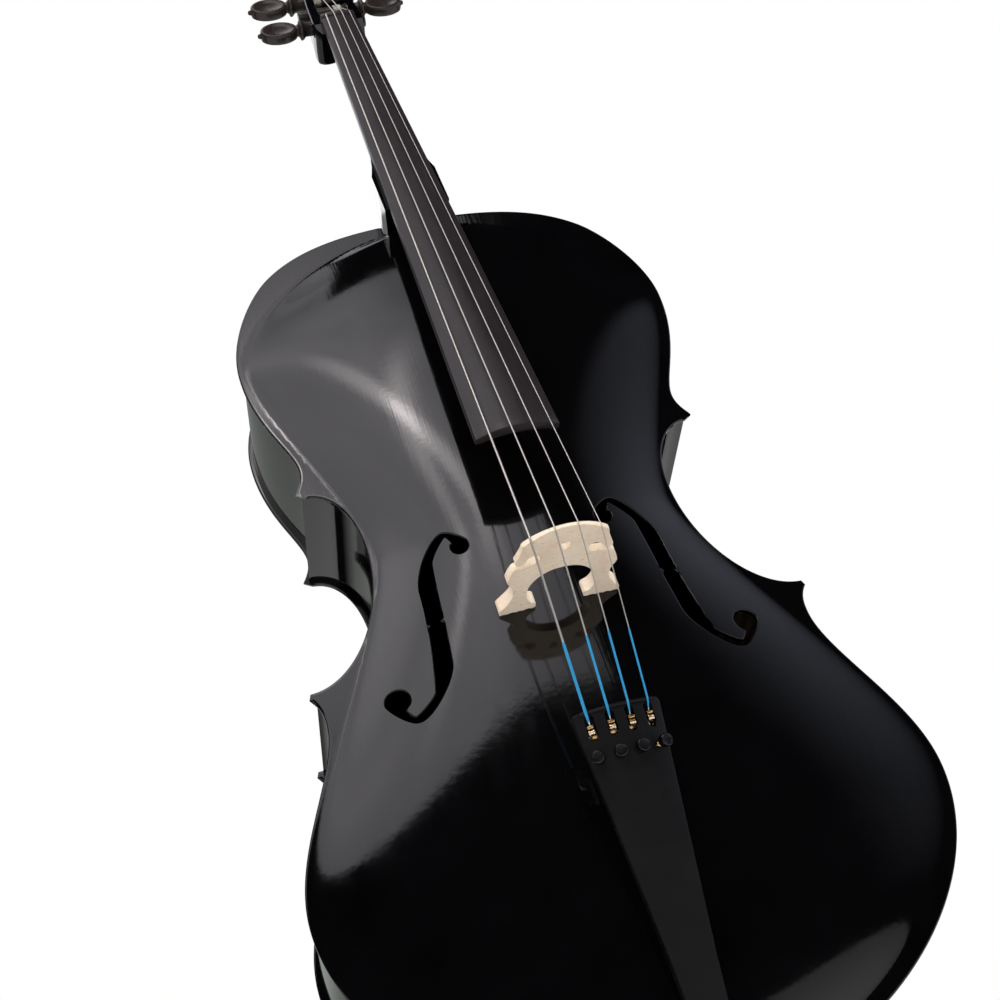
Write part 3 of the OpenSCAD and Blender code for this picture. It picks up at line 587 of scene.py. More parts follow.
def notched(half, heel=28.0, saddle=20.0):
    """Outline of the front, with room for the neck's heel and the saddle."""
    x, z = half[:, 0], half[:, 1]
    keep = half[~((z > 700) & (x < heel)) & ~((z < 60) & (x < saddle))]
    foot = np.array([[4, 8.0], [saddle, 8.0], [saddle, keep[0, 1] + 0.4]])
    top = np.array([[heel, keep[-1, 1] - 0.4], [heel, PLATE_END], [4, PLATE_END]])
    right = [[[0.0, 8.0]], spaced(foot, 2.5), keep, spaced(top, 2.5), [[0.0, PLATE_END]]]
    return both_sides(np.vstack(right))


def buttoned(half):
    """Outline of the back, with the button under the heel."""
    keep = half[~((half[:, 1] > 700) & (half[:, 0] < 19.2))]
    right = np.vstack([[[0.0, 0.0]], keep, arc(0, BODY_L - 6, 20, 20, 16, 90, 13)])
    right[-1, 0] = 0.0
    return both_sides(right)


F_OUTER = chain([(48.0, 417, 0, 0, 0, 12), (64, 430.6, 14, 0, 26, 0), (91.5, 388, 2, -54, -1, -10),
                 (93.2, 361.0, 1, -8, 0, 0)], 12)
F_NOTCH_OUT = np.array([[90.6, 359.2], [93.4, 357.2]])
F_LOWER_OUT = chain([(93.4, 356.6, 0, 0, 1, -26), (101.5, 306, 6, -18, 10, -16),
                     (119.3, 292.6, 10, -2, 0, 0)], 12)
F_WING_LOW = chain([(119.3, 292.9, 0, 0, 4, 4), (124.2, 300.2, 1, 4, 0, 0)], 4)
F_LOWER_IN = chain([(136.4, 308.2, 0, 0, -2, -12), (117.5, 288.0, -22, -2, -30, -3),
                    (84.6, 325, -4, 36, -2, 16), (81.2, 358.0, -1, 8, 0, 0)], 12)
F_NOTCH_IN = np.array([[83.8, 360.2], [81.0, 362.4]])
F_UPPER_IN = chain([(80.8, 363.0, 0, 0, 0, 24), (76.8, 409.5, -4, 20, -4, 12),
                    (62.3, 426.9, -8, 2, 0, 0)], 12)
F_WING_UP = chain([(62.3, 426.6, 0, 0, -3, -2), (58.6, 419.0, -1, -4, 0, 0)], 4)


# f-hole of the +X side: down the outer side, round the lower eye, up the inner side, round the upper eye
LOW_EYE = arc(127.6, 309.2, 9.0, 9.0, 248, -8, 26)
HIGH_EYE = arc(54.6, 415.6, 6.7, 6.7, 40, -192, 24)
F_HOLE = np.vstack([F_OUTER, F_NOTCH_OUT, F_LOWER_OUT[1:], F_WING_LOW[1:], LOW_EYE[1:], F_LOWER_IN[1:],
                    F_NOTCH_IN, F_UPPER_IN[1:], F_WING_UP[1:], HIGH_EYE[1:-1]])


def plate(name, look, arch, outline, holes, y, out):
    """Arched plate whose edge lies at y and whose arch rises towards out."""
    made = board(outline, holes, lambda x, z: arch * rise(x, z), lambda x, z: arch * rise(x, z) - WALL,
                 2.7, 1.3, 0.8, (0.1, 0.3, 0.65, 1.2, 2.6, 5.0), (0.12, 0.4, 0.9, 2.2))
    lay(name, made, lambda p: stack([p[:, 0], y + out * p[:, 2], p[:, 1] + BODY_Z]), look,
        nodes=["top_plate" if holes else "back_plate"])


plate("belly", LACQUER_FRONT, TOP_ARCH, notched(HALF), [F_HOLE, mirrored(F_HOLE)], FRONT_Y, -1)
plate("back", LACQUER, BACK_ARCH, buttoned(HALF), [], BACK_Y, 1)


# ---------------- ribs
def crossing(a, b):
    """Where two paths cross: the place, and how far along each."""
    for i in range(len(a) - 1):
        p, r = a[i], a[i + 1] - a[i]
        for j in range(len(b) - 1):
            q, s = b[j], b[j + 1] - b[j]
            det = r[0] * s[1] - r[1] * s[0]
            if abs(det) < 1e-9:
                continue
            t = ((q[0] - p[0]) * s[1] - (q[1] - p[1]) * s[0]) / det
            u = ((q[0] - p[0]) * r[1] - (q[1] - p[1]) * r[0]) / det
            if 0 <= t <= 1 and 0 <= u <= 1:
                return p + t * r, i, j
    return None


def longer(path, start, end):
    """The path with its chosen ends run on by 12 mm."""
    a = path[0] + (path[0] - path[1]) * 10 * np.linspace(1, 0.1, 10)[:, None]
    b = path[-1] + (path[-1] - path[-2]) * 10 * np.linspace(0.1, 1, 10)[:, None]
    return np.vstack([a] * start + [path] + [b] * end)


def offset_set(d):
    """The three paths of one half, offset inwards and mitred where they meet at the corners."""
    low, mid, high = (beside(spaced(p, 1.2), d) for p in (LOWER, WAIST, UPPER))
    low, mid, high = longer(low, 0, 1), longer(mid, 1, 1), longer(high, 1, 0)
    p, i, j = crossing(low, mid[:60])
    low, mid = np.vstack([low[:i + 1], p]), np.vstack([p, mid[j + 1:]])
    p, i, j = crossing(mid[len(mid) - 60:], high[:60])
    i += len(mid) - 60
    mid, high = np.vstack([mid[:i + 1], p]), np.vstack([p, high[j + 1:]])
    return low, mid, high


def ribs():
    outer, inner = offset_set(4.0), offset_set(5.8)
    for k, part in enumerate(("lower", "waist", "upper")):
        o, i = (spaced(p, np.linalg.norm(np.diff(p, axis=0), axis=1).sum() / 129)
                for p in (outer[k], inner[k]))
        half = min(len(o), len(i))
        if part == "upper":
            half = int((o[:half, 0] > 24).sum())     # the ribs end at the neck's heel
        loop = np.vstack([o[:half], i[:half][::-1]])
        count = 2 * half
        strip = [[j, j + 1, count - 2 - j, count - 1 - j] for j in range(half - 1)]
        for side, word in ((-1, "left"), (1, "right")):
            rings = [stack([side * loop[:, 0], np.full(count, y), loop[:, 1] + BODY_Z])
                     for y in (-RIB_Y + 0.02, RIB_Y - 0.02)]
            b = Build().rings(rings[::side], cap=False)
            b.faces.extend([q[::-1] for q in strip])
            b.faces.extend([[count + j for j in q] for q in strip])
            b.done(f"rib_{part}_{word}_skin", LACQUER, nodes=[f"rib_{part}_{word}"], angle=35)


ribs()


# ---------------- fingerboard, nut and saddle
def sagitta(w):
    """Height of the crown over its edges, for a width."""
    return BOARD_R - np.sqrt(BOARD_R ** 2 - w * w / 4)


def board_w(z):
    return NUT_W + (END_W - NUT_W) * (NUT_Z - z) / (NUT_Z - BOARD_END_Z)


def crown_y(z):
    return FRONT_Y - BOARD_UP + math.tan(BOARD_TILT) * (z - BOARD_END_Z)


# depth of the fingerboard's underside at its two ends
GLUE_END = crown_y(BOARD_END_Z) + sagitta(END_W) + BOARD_T
GLUE_NUT = crown_y(NUT_Z) + sagitta(NUT_W) + BOARD_T


def glue_y(z):
    return GLUE_END + (GLUE_NUT - GLUE_END) * (z - BOARD_END_Z) / (NUT_Z - BOARD_END_Z)


def board_section(z, inset=0.0):
    """Closed section of the fingerboard: crown, rounded sides, and the hollow under its free part."""
    w = board_w(z) / 2 - inset
    reach = math.asin((w - 1.4) / BOARD_R)
    a = np.linspace(-reach, reach, 41)
    crown = stack([BOARD_R * np.sin(a), crown_y(z) + inset + BOARD_R * (1 - np.cos(a))])
    low = glue_y(z) - inset
    side = crown[-1, 1]
    corner = np.array([[w - 0.45, side + 0.4], [w, side + 1.3], [w, low - 1.0], [w - 0.3, low - 0.25],
                       [w - 1.0, low]])
    free = np.clip((TOP_Z - 14 - z) / 60, 0, 1)
    s = np.linspace(1, -1, 25)
    deep = 5.2 * free * (1 - s * s) ** 0.8
    under = stack([s * (w - 4.5), low - deep])
    ring = np.vstack([crown, corner, under, corner[::-1] * [-1, 1]])
    return stack([ring, np.full(len(ring), z)])


zs = np.r_[np.linspace(BOARD_END_Z + 0.7, TOP_Z - 12, 40), np.linspace(TOP_Z - 8, NUT_Z - 0.3, 30)]
rings = [board_section(BOARD_END_Z, 0.6), board_section(BOARD_END_Z + 0.2, 0.18)]
rings += [board_section(z) for z in zs]
Build().rings(rings).done("fingerboard_ebony", EBONY, nodes=["fingerboard"], angle=38)


def crown_drop(r, x):
    """How far a crown of radius r has fallen at x from its middle."""
    return r - math.sqrt(r * r - x * x)


def nut_piece():
    rings = []
    for x in np.linspace(-15.9, 15.9, 129):
        y = crown_y(NUT_Z) - NUT_UP + crown_drop(BOARD_R, x)
        for k, r in enumerate(STRING_R.values()):
            off = abs(x - (k - 1.5) * NUT_PITCH)     # groove that the string lies in
            if off < r + 0.15:
                y += math.sqrt((r + 0.15) ** 2 - off ** 2) * 0.7
        edge = min(1.0, (15.9 - abs(x)) / 1.2)
        y += 1 - math.sqrt(max(0, 1 - (1 - edge) ** 2))
        section = [(GLUE_NUT - 0.05, 0.05), (y + 0.8, 0.05), (y + 0.2, 0.5), (y, 1.5), (y + 0.2, 3.2),
                   (y + 0.9, 5.0), (y + 2.6, 6.8), (y + 4.6, 7.8), (GLUE_NUT + 1.0, 8.0)]
        rings.append([[x, a, NUT_Z + b] for a, b in section])
    Build().rings(rings).done("nut_ebony", EBONY, nodes=["nut"], angle=50)


nut_piece()


def saddle_piece():
    shape = through([[1.0, 4.4], [-4.6, 0.6], [-8.6, 1.3], [-9.6, 3.4], [-8.6, 5.6], [-5.0, 8.3],
                     [1.0, 8.8]], 4)
    rings = []
    for x in np.r_[np.linspace(-20, -17, 7), np.linspace(-16, 16, 33), np.linspace(17, 20, 7)]:
        narrow = 1 - 0.28 * max(0.0, (abs(x) - 17) / 3) ** 2
        section = np.vstack([[[4.4, 1.0]], [[-3.6, 0.2]], shape[4:] * [narrow, 1], [[4.4, 8.8]]])
        rings.append([[x, FRONT_Y + a, BODY_Z - 1 + b] for a, b in section])
    Build().rings(rings).done("saddle_ebony", EBONY, nodes=["saddle"], angle=45)


saddle_piece()


# ---------------- bridge
CROWN_H = TOP_ARCH + 88
CROWN_R = 42.0
BRIDGE_Z = BODY_Z + 355


def bridge_outline():
    a = np.arcsin(np.linspace(0, 30.6, 22) / CROWN_R)
    crown = stack([CROWN_R * np.sin(a), CROWN_H - CROWN_R + CROWN_R * np.cos(a)])
    wing = through([[30.6, crown[-1, 1]], [31.2, 92], [32.8, 86], [34.6, 80.5], [34.4, 77.6],
                    [32.6, 76.2]], 4)
    kidney = through([[29, 76.9], [27.2, 80.2], [24.6, 83.6], [20.8, 84.6], [17.6, 82.6], [17, 79.2],
                      [19.2, 76.2], [23, 75], [28.2, 74.2]], 5)
    tip = through([[32, 73.6], [35.4, 72.4], [37.6, 67.5], [39, 62], [39.6, 57.8]], 4)
    knee = through([[38.4, 55.4], [36.4, 52.6], [35.2, 48], [34.9, 43], [36.2, 37.5], [39.6, 31.5],
                    [43.2, 26.6]], 5)
    foot = np.array([[44.3, 24.2], [44, 20.6], [43, 19.2], [38, 19.6], [32, 20.2], [26, 20.8], [21, 21.2],
                     [18, 21.5], [17.6, 24], [17.6, 26.4]])
    leg = through([[18.6, 27.6], [21.6, 29.4], [24.2, 33.4], [25.2, 38.8], [24.8, 45], [22, 52.2], [16, 59.2],
                   [8.4, 63.4], [0, 64.6]], 5)
    return both_sides(np.vstack([crown, wing[1:], kidney, tip, knee, foot, leg]))


def bridge():
    heart = through([[0, 84.5], [2.4, 86.5], [4.4, 89.5], [3.6, 92.4], [1.6, 92.6], [0, 91.2],
                     [-1.6, 92.6], [-3.6, 92.4], [-4.4, 89.5], [-2.4, 86.5]], 4, closed=True)

    def thick(x, h):
        return np.interp(h, [18, 32, 70, CROWN_H], [5.5, 5.2, 3.4, 1.55])

    made = board(bridge_outline(), [heart], thick, lambda x, h: -thick(x, h), 1.6, 0.45, 0.4, (0.1, 0.3, 0.6),
                 (0.1, 0.3, 0.6), slope=0.6)
    # the undersides of the feet follow the belly
    x, h = made[0][:, 0], made[0][:, 1]
    belly = TOP_ARCH * rise(x, np.full(len(x), BRIDGE_Z - BODY_Z)) - 0.05
    made[0][:, 1] = np.where(h < 22.2, np.maximum(h, belly), h)
    lay("bridge_maple_carved", made, lambda p: stack([p[:, 0], FRONT_Y - p[:, 1], BRIDGE_Z + p[:, 2]]), MAPLE,
        nodes=["bridge"])


bridge()


# ---------------- neck, pegbox and scroll
LEAN = math.radians(14)


def head(p):
    """Pegbox frame (across, depth, height) to the row's frame."""
    x, y, z = np.asarray(p, float).reshape(-1, 3).T
    c, s = math.cos(LEAN), math.sin(LEAN)
    return stack([x, GLUE_NUT + y * c + z * s, NUT_Z - y * s + z * c])


def neck_section(z, w, w_back, y_front, depth, square, n=48):
    """Section behind the glue face; square is 2 for a half-round one and more for a boxier one."""
    a = np.linspace(0, math.pi, n)
    c, s = np.cos(a), np.sin(a)
    p = 2 / square
    x = np.sign(c) * np.abs(c) ** p
    y = s ** p
    x = x * (w + (w_back - w) * y)
    return stack([x, y_front + y * depth, np.full(n, z)])


def neck():
    heel = chain([(BACK_Y - WALL, TOP_Z + 12.5, 0, 0, -52, 10),
                  (glue_y(TOP_Z + 70) + NECK_T, TOP_Z + 70, -3, 62, 0, 0)], 26)
    rings = []
    for z in np.linspace(TOP_Z - 12, TOP_Z + 12, 5):
        y = glue_y(z)
        rings.append(neck_section(z, HEEL_HALF, BUTTON_HALF, y, BACK_Y - WALL - y, 9.0))
    for y_back, z in heel[1:]:
        depth = y_back - glue_y(z)
        t = np.clip((depth - NECK_T) / 84, 0, 1)
        w = board_w(z) / 2 - 0.2
        front = w + (HEEL_HALF - w) * min(1, 1.5 * t) ** 1.3
        back = w + (BUTTON_HALF - w) * t ** 0.8
        rings.append(neck_section(z, front, back, glue_y(z), depth, 2.1 + 5 * t ** 1.4))
    for z in np.linspace(TOP_Z + 84, NUT_Z - 30, 22):
        w = board_w(z) / 2 - 0.2
        rings.append(neck_section(z, w, w, glue_y(z), NECK_T - 3.2 * (z - TOP_Z - 70) / 200, 2.1))
    for below, depth, flare in ((24, 23.0, 0.3), (18, 24.6, 1.4), (12, 28.0, 3.2), (6, 33.0, 5.6),
                               (1, 36.5, 7.0)):
        z = NUT_Z - below
        w = board_w(z) / 2 - 0.2
        rings.append(neck_section(z, w, w + flare, glue_y(z), depth, 2.1 + flare * 0.35))
    b = Build().rings(rings)
    # pegbox: a section at each height, from the front left round the back, then the cavity
    hs = np.r_[np.linspace(-14, 6, 9), [8.2, 8.6], np.linspace(10, 122, 34), [124.6, 125.2],
               np.linspace(127, 146, 7)]
    pegbox = []
    for h in hs:
        w = np.interp(h, [-16, -6, 4, 40, 100, 146], [18.5, 23.6, 24.4, 22.8, 18.4, 14.2])
        deep = np.interp(h, [-14, -8, 0, 12, 60, 100, 125, 146],
                         [36.0, 39.0, 39.5, 38.8, 34.4, 31.4, 31.6, 36.0])
        near = np.interp(h, [-14, -2, 0, 122, 134, 146], [4.0, 0.5, -0.4, -0.4, -1.4, 2.0])
        cave = np.interp(h, [6, 8.4, 9.5, 60, 100, 121, 125], [0, 10, 25, 23, 20, 15, 0])
        cw = min(np.interp(h, [8, 40, 125], [15.0, 15.0, 10.0]), w - 5.6)
        u = np.linspace(-1, 1, 21)
        flute = 1.3 * np.abs(np.sin(u * math.pi)) * (1 - np.abs(u) ** 6)
        back_line = stack([u * (w - 2.2), deep - flute - 1.5 * np.abs(u) ** 8])
        left = np.array([[-w + 0.9, near], [-w, near + 0.9], [-w, near + 8], [-w - 0.2, deep - 12],
                         [-w, deep - 4.6], [-w + 0.7, deep - 2.3]])
        cavity = np.array([[cw, near], [cw, near + 0.4 * cave], [cw - 0.4, near + 0.96 * cave],
                           [cw - 2.0, near + cave]])
        section = np.vstack([left, back_line, mirrored(left), cavity, mirrored(cavity)])
        pegbox.append(head(stack([section, np.full(len(section), h)])))
    b.rings(pegbox)
    b.done("neck_and_pegbox", LACQUER, nodes=["neck"], angle=42)


neck()


def scroll():
    """Spiral volute: one turn's wall, its floor, and the next turn standing further out."""
    cx, cz = 13.5, 157.0     # middle, in the pegbox frame
    turns = 2.62

    def radius(t):
        return 27.0 * 0.60 ** t

    def reach(t):
        """Half width at a number of turns."""
        return np.interp(t, [0, 0.6, 1.0, 2.0, turns, 4], [12.6, 15.5, 18.5, 26.0, 31.0, 31.5])

    def round_at(x, q, angles):
        return head([[x, cx + q * math.cos(k), cz + q * math.sin(k)] for k in angles])

    b = Build()
    for side in (-1, 1):
        rings = []
        for t in np.linspace(0.0, turns, 150):
            r, w = radius(t), reach(t)
            base = reach(t - 1) - 1.2 if t > 1 else 0.0
            r_in = radius(t + 1) if t + 1 < turns else max(radius(turns) - 1.0, 5.5)
            r_in = min(r_in, r - 1.2)
            floor = w - 3.4 * (r - r_in) / 10
            if t < 1:
                profile = [(r - 0.1, 0.0), (r - 0.9, w * 0.16), (r - 1.6, w * 0.45), (r - 1.28, w * 0.7),
                           (r - 0.2, w * 0.93)]
            else:
                profile = [(r - 0.5, base + (w - base) * s) for s in (0.0, 0.25, 0.5, 0.75, 0.9)]
            profile += [(r, w - 0.5), (r - 0.25, w), (r - 1.1, w + 0.1), (r - 1.9, w - 0.7)]
            for s in (0.25, 0.5, 0.75, 1.0):
                sink = 0.9 * math.sin(math.pi * s)
                profile.append((r - 1.9 + (r_in - 0.4 - r + 1.9) * s, w - 0.7 + (floor - w + 0.7) * s - sink))
            a = 2 * math.pi * t
            rings.append(np.vstack([round_at(side * x, q, [a]) for q, x in profile]))
        b.rings(rings[::side], closed=False, cap=False)
        # the eye
        re, we = radius(turns) + 1.4, reach(turns)
        dome = [(0.02, we + 1.7), (re * 0.4, we + 1.5), (re * 0.75, we + 1.0), (re * 0.95, we + 0.2),
                (re, we - 1.0), (re, we - 9)]
        b.rings([round_at(side * x, q, full_turn(40)) for q, x in dome][::-side])
    # solid core that closes the turns and joins the pegbox
    b.rings([round_at(x, 15, full_turn(40)) for x in np.linspace(-11, 11, 5)])
    b.done("scroll", LACQUER, angle=45)


scroll()


# ---------------- pegs
PEGS = {"c": (-1, 24), "g": (-1, 78), "d": (1, 105), "a": (1, 51)}     # side, and height in the pegbox
PEG_DEPTH = 15.0
WINDING_FROM = {"c": 4, "g": 2, "d": 0.5, "a": 4}


def on_peg(k):
    """Places points turned round a peg's axis, heights measured from the middle of the pegbox."""
    side, h = PEGS[k]

    def place(p):
        x, y, z = p.T
        return head(stack([side * z, PEG_DEPTH + y, h - side * x]))

    return place


def peg_r(at):
    """Radius of a peg's tapered shaft at a place along it."""
    return 6.2 + at / 60


for key in STRINGS:
    place = on_peg(key)
    b = Build()
    small = peg_r(-30)
    prof = [(small - 1.2, -30), (small - 0.3, -29.7), (small, -28.8)]
    prof += [(peg_r(a), a) for a in np.linspace(-26, 29, 12)]
    prof += [(7.2, 29.6), (8.8, 31.0), (9.5, 32.2), (9.5, 33.4), (8.6, 34.2), (6.6, 34.8), (5.4, 36.2),
             (5.0, 38.2), (5.2, 40.0)]
    b.lathe(prof, place, 40)
    # head: a flat heart-shaped grip, dished on both faces
    centre, grip_r = 54.0, 16.4
    a = full_turn(56)
    rings = []
    for lift, grow in ((-5.0, 0.80), (-4.9, 0.90), (-4.2, 0.97), (-2.0, 1.0), (2.0, 1.0), (4.2, 0.97),
                       (4.9, 0.90), (5.0, 0.80)):
        r = grip_r * (1 - 0.05 * np.cos(2 * a)) * grow
        along = centre + 1.0 * np.sin(a) + r * np.sin(a) * 0.98
        rings.append(place(stack([r * np.cos(a), np.full(56, lift), along])))

    def dish(side):
        hollow = [(side * lift, grip_r * grow) for lift, grow in ((3.8, 0.66), (3.1, 0.42), (2.9, 0.2))]
        return [place(stack([q * np.cos(a), np.full(56, y), centre + q * np.sin(a)])) for y, q in hollow]

    b.rings(dish(-1)[::-1] + rings + dish(1))
    b.lathe([(1.6, 69.6), (2.0, 70.8), (2.5, 72.0), (2.3, 73.2), (1.6, 74.2), (0.3, 74.6)], place, 20)
    b.done(f"peg_{key}_turned", EBONY_PEGS, body=f"peg_{key}", nodes=[f"peg_{key}"], angle=50)
    # turns of string on the shaft
    r = STRING_R[key]
    pitch = 2 * r * 1.04
    count = int(9 / pitch) - (0 if r > 0.7 else 1)
    t = np.linspace(0, count, count * 26 + 1)
    ax = WINDING_FROM[key] + r + t * pitch
    rad = peg_r(ax) + r * 0.97
    turn = 2 * math.pi * t + 0.4
    coil = stack([rad * np.cos(turn), rad * np.sin(turn), ax])
    Build().tube(place(coil), r, 10).done(f"turns_{key}", TAPE[key], body=f"peg_{key}",
                                          nodes=[f"winding_{key}"], angle=60)


# ---------------- tailpiece
TAIL_AT = np.array([0, FRONT_Y - 72, BODY_Z + 238.0])
TAIL_LEAN = math.radians(12.5)
TAIL_R = 62.0
TUNER_PITCH = 14.0
SCREW_Z = -30.5                        # the screws' place along the tailpiece
PIVOT = np.array([0, 9.5, -14.5])      # the levers' axle
LEVER_ARM = 16                         # from the axle to the screw
TUNED = {"a": -1.8}                    # how far a screw is wound in at rest


def turn_x(p, angle):
    c, s = math.cos(angle), math.sin(angle)
    x, y, z = p.T
    return stack([x, y * c - z * s, y * s + z * c])


def tail(p):
    """Tailpiece frame (across, depth, up) to the row's frame."""
    return turn_x(np.asarray(p, float).reshape(-1, 3), TAIL_LEAN) + TAIL_AT


def tuner_turn(k):
    """Angle of a string's tuner round the tailpiece's crown."""
    return math.asin((STRINGS.index(k) - 1.5) * TUNER_PITCH / TAIL_R)


def tuner(k, lever=False):
    """Places a fine tuner's points, drawn at the middle of the crown."""
    a = tuner_turn(k)

    def place(p):
        p = np.array(p, float).reshape(-1, 3)
        if lever and k in TUNED:
            p = turn_x(p - PIVOT, TUNED[k] / LEVER_ARM) + PIVOT
        x, y, z = (p - [0, TAIL_R, 0]).T
        c, s = math.cos(a), math.sin(a)
        return tail(stack([x * c - y * s, x * s + y * c + TAIL_R, z]))

    return place


def tailpiece():
    curve = chain([(0, -217, 1, 0, 14, 0), (11.4, -207, 3, 10, 2, 12), (14.5, -165, 2, 34, 6, 60),
                   (26.6, -38, 6, 60, 4, 34), (30, -1.6, 0, 12, 0, 1.6), (28.2, 1.2, -1.6, 0.4, -10, 0.4),
                   (0, 1.8, -20, 0.1, 0, 0)], 30)
    right = spaced(curve, 1.6)
    right[0, 0] = right[-1, 0] = 0.0
    holes = []
    for k in STRINGS:
        x = (TAIL_R - 3.0) * math.sin(tuner_turn(k))
        squeeze = math.cos(tuner_turn(k))
        slant = abs(math.sin(tuner_turn(k))) * 2.4
        w = 2.95 * squeeze + 0.35 * slant
        high = arc(x, -4.6, w, w, 0, 180, 11)
        low = arc(x, -15.8, -w, -w, 0, 180, 11)
        sides = [spaced(np.array([p[-1], q[0]]), 1.5)[1:-1] for p, q in ((high, low), (low, high))]
        holes.append(np.vstack([high, sides[0], low, sides[1]]))
        holes.append(arc(x, SCREW_Z, 2.1 * squeeze + 1.15 * slant, 1.95, 0, 340, 18))

    def curved(x):
        return TAIL_R - np.sqrt(TAIL_R ** 2 - x * x)

    def bottom(x, s):
        """Flat underside, hollowed out where the levers lie."""
        m = np.minimum((25.6 - np.abs(x)) / 1.2, np.minimum((s + 42.1) / 1.2, (-3.9 - s) / 1.2))
        return -13.0 + (np.maximum(-(6.2 + curved(x)), -12.9) + 13.0) * np.clip(m, 0, 1)

    made = board(both_sides(right), holes, lambda x, s: -(1.5 + curved(x)), bottom, 2.2, 1.3, 0.3,
                 (0.1, 0.3, 0.7, 1.3), (0.1, 0.35), slope=0.5)
    lay("tailpiece_body", made, lambda p: tail(stack([p[:, 0], -p[:, 2], p[:, 1]])), COMPOSITE,
        nodes=["tailpiece"])


tailpiece()


def fret():
    """Raised bar that the strings cross at the tailpiece's top."""
    rings = []
    for x in np.linspace(-25.9, 25.9, 81):
        y = crown_drop(TAIL_R, x)
        end = max(0.0, (abs(x) - 24.4) / 1.5)
        y += 1.4 * end * end
        ring = [[x, b, a] for a, b in arc(0, y + 1.25, 1.25, -1.25, 0, 180, 11)]
        ring += [[x, y + 2.4, -1.3], [x, y + 2.4, 1.3]]
        rings.append(tail(ring))
    Build().rings(rings).done("tailpiece_fret_bar", COMPOSITE, nodes=["tailpiece_fret"], angle=50)


fret()


def threaded(start, end, outer, inner, pitch):
    """Profile of a screw thread."""
    prof = []
    while start < end:
        prof += [(outer, start), (inner, start + pitch / 2)]
        start += pitch
    return prof


for key in STRINGS:
    place = tuner(key)
    swing = tuner(key, lever=True)
    # lever: a bent brass arm with a fork that holds the ball
    side = through([[0.8, -8.7], [0.7, -10.3], [2.6, -10.7], [6.0, -11.3], [6.2, -15.7], [7.8, -18.1],
                    [10.4, -19.7], [11.0, -24.5], [11.0, -36.1]], 3)
    back_side = through([[12.6, -36.1], [12.6, -24.5], [12.5, -19.5], [12.0, -12.9], [9.4, -10.7],
                         [7.2, -8.1]], 3)
    outline = np.vstack([side, back_side, [[4.6, -7.5]]])
    made = board(outline[:, ::-1], [], lambda x, z: np.full(len(x), 2.2), lambda x, z: np.full(len(x), -2.2),
                 1.4, 0.4, 0.2, (0.1, 0.25, 0.5), slope=0.3)
    lever = {"body": f"tuner_lever_{key}", "angle": 40}
    lay(f"fork_{key}", made, lambda p: swing(p[:, ::-1]), BRASS, False, nodes=[f"tuner_lever_{key}"], **lever)
    # ball end: a turned brass barrel with a hole, lying across the fork
    barrel = [(0.9, -2.1), (1.9, -2.1), (2.15, -1.85), (2.2, -1.2), (1.75, -0.8), (1.75, 0.8), (2.2, 1.2),
              (2.15, 1.85), (1.9, 2.1), (0.9, 2.1)]
    Build().lathe(barrel, lambda p: swing(stack([p[:, 2], 3.2 + p[:, 1], -12.9 + p[:, 0]])), 28).done(
        f"ball_{key}", BALL_BRASS, nodes=[f"ball_end_{key}"], **lever)
    # screw: a threaded shaft
    wound_in = TUNED.get(key, 0.0)
    tip = 10.3 + wound_in
    prof = [(1.72, tip - 15.3)] + threaded(tip - 15.0, tip - 0.7, 1.74, 1.45, 0.5)
    prof += [(1.5, tip - 0.5), (1.0, tip)]
    Build().lathe(prof, lambda p: place(stack([p[:, 0], p[:, 2], SCREW_Z + p[:, 1]])), 24).done(
        f"screw_{key}", BRASS, body=f"tuner_screw_{key}", nodes=[f"tuner_screw_{key}"], angle=30)
    # knob: knurled rim, dished face
    a = full_turn(64)
    rings = []
    for r, y, knurl in ((2.0, 0, 0), (3.7, 0, 0), (4.15, -0.35, 0), (4.4, -0.8, 1), (4.4, -4.7, 1),
                        (4.15, -5.15, 0), (3.7, -5.5, 0), (3.2, -5.4, 0), (2.9, -5.05, 0), (1.2, -4.95, 0),
                        (0.1, -4.95, 0)):
        rr = r - 0.22 * knurl * (np.arange(64) % 2)
        y += wound_in - 0.8
        rings.append(place(stack([rr * np.cos(a), np.full(64, y), SCREW_Z + rr * np.sin(a)])))
    Build().rings(rings).done(f"knob_{key}", KNOB, body=f"tuner_knob_{key}", nodes=[f"tuner_knob_{key}"],
                              angle=25)

pins = Build()
for key in STRINGS:
    pins.lathe([(0.7, -4.8), (0.98, -4.6), (0.98, 4.6), (0.7, 4.8)],
               lambda p, place=tuner(key): place(PIVOT + p[:, ::-1]), 20)
pins.done("tuner_pin_set", PIN_STEEL, nodes=["tuner_pins"], angle=40)


# ---------------- strings
def string_route(k):
    i = STRINGS.index(k)
    r = STRING_R[k]
    side, h = PEGS[k]
    wound_r = peg_r(WINDING_FROM[k] + 4.5) + 2 * r + 0.1
    nx, bx = (i - 1.5) * NUT_PITCH, (i - 1.5) * BRIDGE_PITCH
    return np.array([
        head([[side * (WINDING_FROM[k] + 1), PEG_DEPTH - wound_r - 0.3 - r, h - 1]])[0],
        [nx, crown_y(NUT_Z) - NUT_UP + crown_drop(BOARD_R, nx) - r * 0.5, NUT_Z + 2],
        [bx, FRONT_Y - CROWN_H + crown_drop(CROWN_R, bx) - r * 0.4, BRIDGE_Z],
        tuner(k)([[0, -r * 0.8, 0]])[0],
        tuner(k)([[0, 3, -8.5]])[0]])


def eased(route, bend):
    """Route with each bend rounded over a short length."""
    out = [route[0]]
    for a, b, c in zip(route, route[1:], route[2:]):
        u, w = (a - b) / np.linalg.norm(a - b), (c - b) / np.linalg.norm(c - b)
        for t in np.linspace(0, 1, 7):
            out.append(b + u * bend * (1 - t) ** 2 + w * bend * t ** 2)
    out.append(route[-1])
    return np.array(out)


